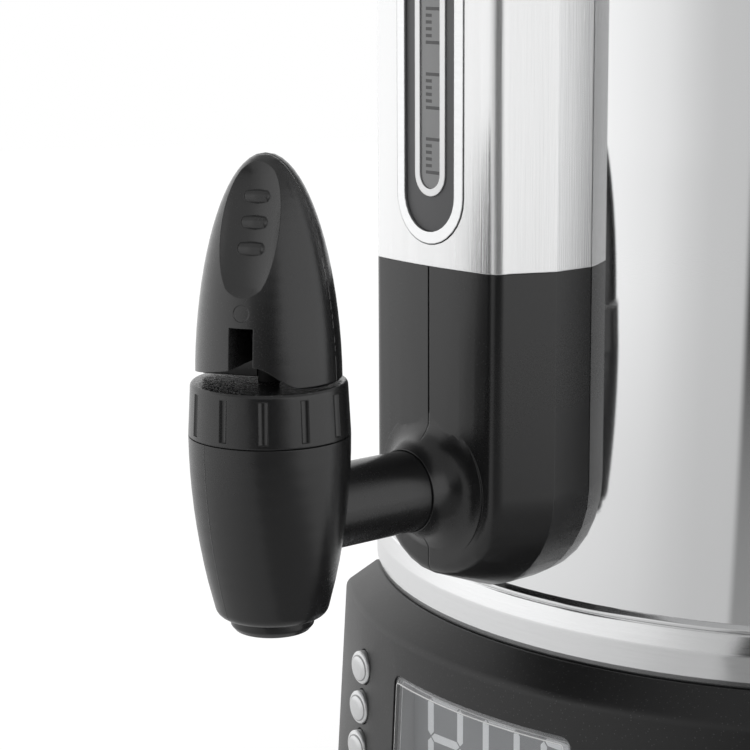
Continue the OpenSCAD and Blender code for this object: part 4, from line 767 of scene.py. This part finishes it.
# %% Assignment
FINISHES = [
    (spark_black, "base_shell base_plate mains_gland gland_nut"),
    (satin_black, "column_cap column_rail nozzle lid_knob lid_vent handle_left handle_right"),
    (housing_black, "tap_housing"),
    (barrel_black, "tap_body"),
    (lever_black, "tap_lever"),
    (bonnet_black, "tap_bonnet"),
    (mirror_steel, "outer_jacket lid"),
    (satin_steel, "bottom_rim gauge_bezel temperature_probe"),
    (dull_steel, "inner_tank"),
    (brushed_steel, "gauge_cover"),
    (fastener_steel, "base_screws tie_rods rail_screws stem_washer stem_spring lever_pin knob_screw"
                     " handle_screws"),
    (scale_window, "gauge_window"),
    (panel_grey, "gauge_panel"),
    (ring_silver, "window_ring"),
    (lcd_grey, "lcd_glass"),
    (frame_grey, "display_carrier"),
    (clear_lens, "display_lens"),
    (clear_tube, "sight_tube"),
    (silver_cap, "button_upper button_middle button_lower"),
    (foot_rubber, "rubber_feet arm_seal"),
    (board_green, "display_board button_board control_board"),
    (switch_black, "tact_switches"),
    (stem_black, "valve_stem"),
    (ivory, "terminal_block thermal_cutout manifold"),
    (cast_alloy, "heat_spreader"),
    (heat_dulled, "heating_element"),
    (turned_brass, "tank_outlet"),
    (red_silicone, "outlet_seal sight_seals"),
    (white_silicone, "lid_gasket seat_cup"),
]

def dress(node, material):
    slots = nodes[node].data.materials
    slots.clear()
    slots.append(material)

for material, names in FINISHES:
    for name in names.split():
        dress(name, material)
dressed = sum(len(names.split()) for material, names in FINISHES)
print("dressed", dressed, "of", len(nodes), "solids")

# %% [markdown]
# ## Smooth curves
# A curve in the solids is a row of narrow bands, and each band would catch the light by
# itself. A modifier welds the bands and shades them as one surface, but keeps every edge that
# turns by more than a set angle. A second modifier lets the large faces set the direction of
# the shading, so that a flat side stays flat up to the curve that ends it. The mesh under
# them stays as it came.

# %% Soft shading
KEEP_ANGLE = math.radians(23.8)
WELD_DISTANCE = 0.004 * MM

def soft_shading_group():
    group = bpy.data.node_groups.new("soft_shading", "GeometryNodeTree")
    for way in ("INPUT", "OUTPUT"):
        group.interface.new_socket("Geometry", in_out=way, socket_type="NodeSocketGeometry")
    make, link = group.nodes.new, group.links.new
    start, end = make("NodeGroupInput"), make("NodeGroupOutput")
    bare = make("GeometryNodeRemoveAttribute")
    bare.inputs["Name"].default_value = "custom_normal"
    weld = make("GeometryNodeMergeByDistance")
    weld.inputs["Distance"].default_value = WELD_DISTANCE
    smooth = make("GeometryNodeSetShadeSmooth")
    crease = make("GeometryNodeSetShadeSmooth")
    crease.domain = "EDGE"
    crease.inputs["Shade Smooth"].default_value = False
    angle = make("GeometryNodeInputMeshEdgeAngle")
    sharp = make("FunctionNodeCompare")
    sharp.operation = "GREATER_THAN"
    sharp.inputs[1].default_value = KEEP_ANGLE
    chain = (start, bare, weld, smooth, crease, end)
    for earlier, later in zip(chain, chain[1:]):
        link(earlier.outputs[0], later.inputs[0])
    link(angle.outputs["Unsigned Angle"], sharp.inputs[0])
    link(sharp.outputs[0], crease.inputs["Selection"])
    return group

soft_group = soft_shading_group()
SOFTENED = ("base_shell bottom_rim tap_housing column_cap gauge_cover tap_body tap_bonnet tap_lever nozzle"
            " lid lid_knob lid_vent handle_left handle_right button_upper button_middle button_lower"
            " mains_gland rubber_feet inner_tank")
for name in SOFTENED.split():
    modifier = nodes[name].modifiers.new("soft_shading", "NODES")
    modifier.node_group = soft_group
    flat_sides = nodes[name].modifiers.new("flat_sides", "WEIGHTED_NORMAL")
    flat_sides.keep_sharp = True
print("softened", len(SOFTENED.split()), "solids")

# %% [markdown]
# ## Making a mesh
# Two thin pieces are left to make: the bevelled lens, which is a row of equal rings, and the
# digits, which are flat figures. One function joins ring to ring with quads, one stands a flat
# figure up as a plate, and one puts a mesh into the scene, riding on the body that carries it.

# %% Mesh helpers
def piece(name, mesh_maker, material, body):
    work = bmesh.new()
    mesh_maker(work)
    bmesh.ops.recalc_face_normals(work, faces=work.faces)
    mesh = bpy.data.meshes.new(name)
    work.to_mesh(mesh)
    work.free()
    mesh.materials.append(material)
    made = bpy.data.objects.new(name, mesh)
    bpy.context.scene.collection.objects.link(made)
    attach(made, body)
    return made

def join_rings(work, rings):
    rows = [[work.verts.new(point) for point in ring] for ring in rings]
    for lower, upper in zip(rows, rows[1:]):
        count = len(lower)
        for i in range(count):
            j = (i + 1) % count
            work.faces.new((lower[i], lower[j], upper[j], upper[i]))
    return rows

def plate(work, outline, place, thickness):
    """A flat figure from outline points (across, up), stood on place(across, up, out)."""
    back = [work.verts.new(place(a, u, 0.0)) for a, u in outline]
    front = [work.verts.new(place(a, u, thickness)) for a, u in outline]
    work.faces.new(front)
    work.faces.new(back[::-1])
    for i in range(len(outline)):
        j = (i + 1) % len(outline)
        work.faces.new((back[i], back[j], front[j], front[i]))

print("mesh helpers ready")

# %% [markdown]
# ## The lens
# The lens is bent like the wall and its rim is ground to a broad bevel, which catches a bright
# line above and to the left. It is built from rounded rectangles that shrink towards the
# middle, each laid on the leaning wall at its own height off it. A step of the bevel is its share
# of the width and its height off the wall in millimetres.

# %% Bevelled lens
LENS_STEPS = [(0.0, -1.75), (0.0, -0.5), (0.5, -0.1), (1.0, 0.6)]
LEAST_ROUND = 0.4 * MM
LONG_SIDE = 5.0 * MM
FACE_SHRINK = (0.8, 0.6, 0.4, 0.2, 0.02)
BACK_GROWTH = (0.02, 0.3, 0.6, 0.85)
LENS_CREASE = math.radians(14)

def rounded_box(inset, corner_steps=8):
    """Points of the lens outline, drawn in by inset."""
    w, h = half_w - inset, half_h - inset
    r = max(LENS_ROUND - inset, LEAST_ROUND)
    points = []
    for quarter, (side, level) in enumerate(((1, 1), (-1, 1), (-1, -1), (1, -1))):
        for k in range(corner_steps + 1):
            a = math.pi / 2 * (quarter + k / corner_steps)
            points.append((side * (w - r) + r * math.cos(a), level * (h - r) + r * math.sin(a)))
    return points

def edge_filled(points, per_side=14):
    """The same outline with more points on its straight sides, so that it can bend."""
    filled = []
    for (x0, z0), (x1, z1) in zip(points, points[1:] + points[:1]):
        parts = per_side if math.hypot(x1 - x0, z1 - z0) > LONG_SIDE else 1
        filled += [(x0 + (x1 - x0) * k / parts, z0 + (z1 - z0) * k / parts) for k in range(parts)]
    return filled

def on_wall(x, z, proud):
    radius = wall_radius(lens_centre.z + z) + proud
    return Vector((x, -math.sqrt(radius ** 2 - x ** 2), lens_centre.z + z))

def lens_mesh(work):
    rings = [[on_wall(x, z, proud * MM) for x, z in edge_filled(rounded_box(share * BEVEL))]
             for share, proud in LENS_STEPS]
    inner = edge_filled(rounded_box(BEVEL))
    front = [[on_wall(x * s, z * s, LENS_STEPS[-1][1] * MM) for x, z in inner]
             for s in FACE_SHRINK]
    outer = edge_filled(rounded_box(0.0))
    back = [[on_wall(x * s, z * s, LENS_STEPS[0][1] * MM) for x, z in outer]
            for s in BACK_GROWTH]
    rows = join_rings(work, back + rings + front)
    work.faces.new(rows[0])
    work.faces.new(rows[-1])
    for face in work.faces:
        face.smooth = True

lens = piece("display_window", lens_mesh, clear_lens, "urn")
lens.data.set_sharp_from_angle(angle=LENS_CREASE)
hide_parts("display_lens")
print("lens:", len(lens.data.polygons), "faces")

# %% [markdown]
# ## The digits
# Three seven-segment figures stand on the glass. A segment is a bar with pointed ends, laid
# along one of the seven strokes of a figure of eight, and all of them show, as in a display
# that tests itself.

# %% Seven-segment figures
DIGIT_PITCH = 22.8 * MM
DIGIT_W = 12.3 * MM
DIGIT_H = 23.0 * MM
DIGIT_SHIFT = (2.8 * MM, 1.0 * MM)
BAR = 2.4 * MM
BAR_GAP = 0.35 * MM
INK_THICK = 0.06 * MM
STROKES_OF_EIGHT = [((-1, 1), (1, 1)), ((-1, 0), (1, 0)), ((-1, -1), (1, -1)),
                    ((-1, 0), (-1, 1)), ((1, 0), (1, 1)), ((-1, -1), (-1, 0)), ((1, -1), (1, 0))]

def bar_outline(start, end):
    along = (end - start).normalized()
    aside = Vector((-along.y, along.x)) * BAR / 2
    a, b = start + along * BAR_GAP, end - along * BAR_GAP
    tip = along * BAR / 2
    return [a, a + tip - aside, b - tip - aside, b, b - tip + aside, a + tip + aside]

def on_glass(across, up, out):
    return Vector((across + DIGIT_SHIFT[0], lcd_front - out, lens_centre.z + DIGIT_SHIFT[1] + up))

def digits_mesh(work):
    for k in (-1, 0, 1):
        for first, second in STROKES_OF_EIGHT:
            ends = [Vector((k * DIGIT_PITCH + side * DIGIT_W / 2, level * DIGIT_H / 2))
                    for side, level in (first, second)]
            plate(work, [tuple(p) for p in bar_outline(*ends)], on_glass, INK_THICK)

digits = piece("display_digits", digits_mesh, digit_pale, "urn")
digit_end = max(vertex.co.x for vertex in digits.data.vertices)
print("digits: to x", round(digit_end, 4), "on a glass to x", round(lcd_high.x, 4))
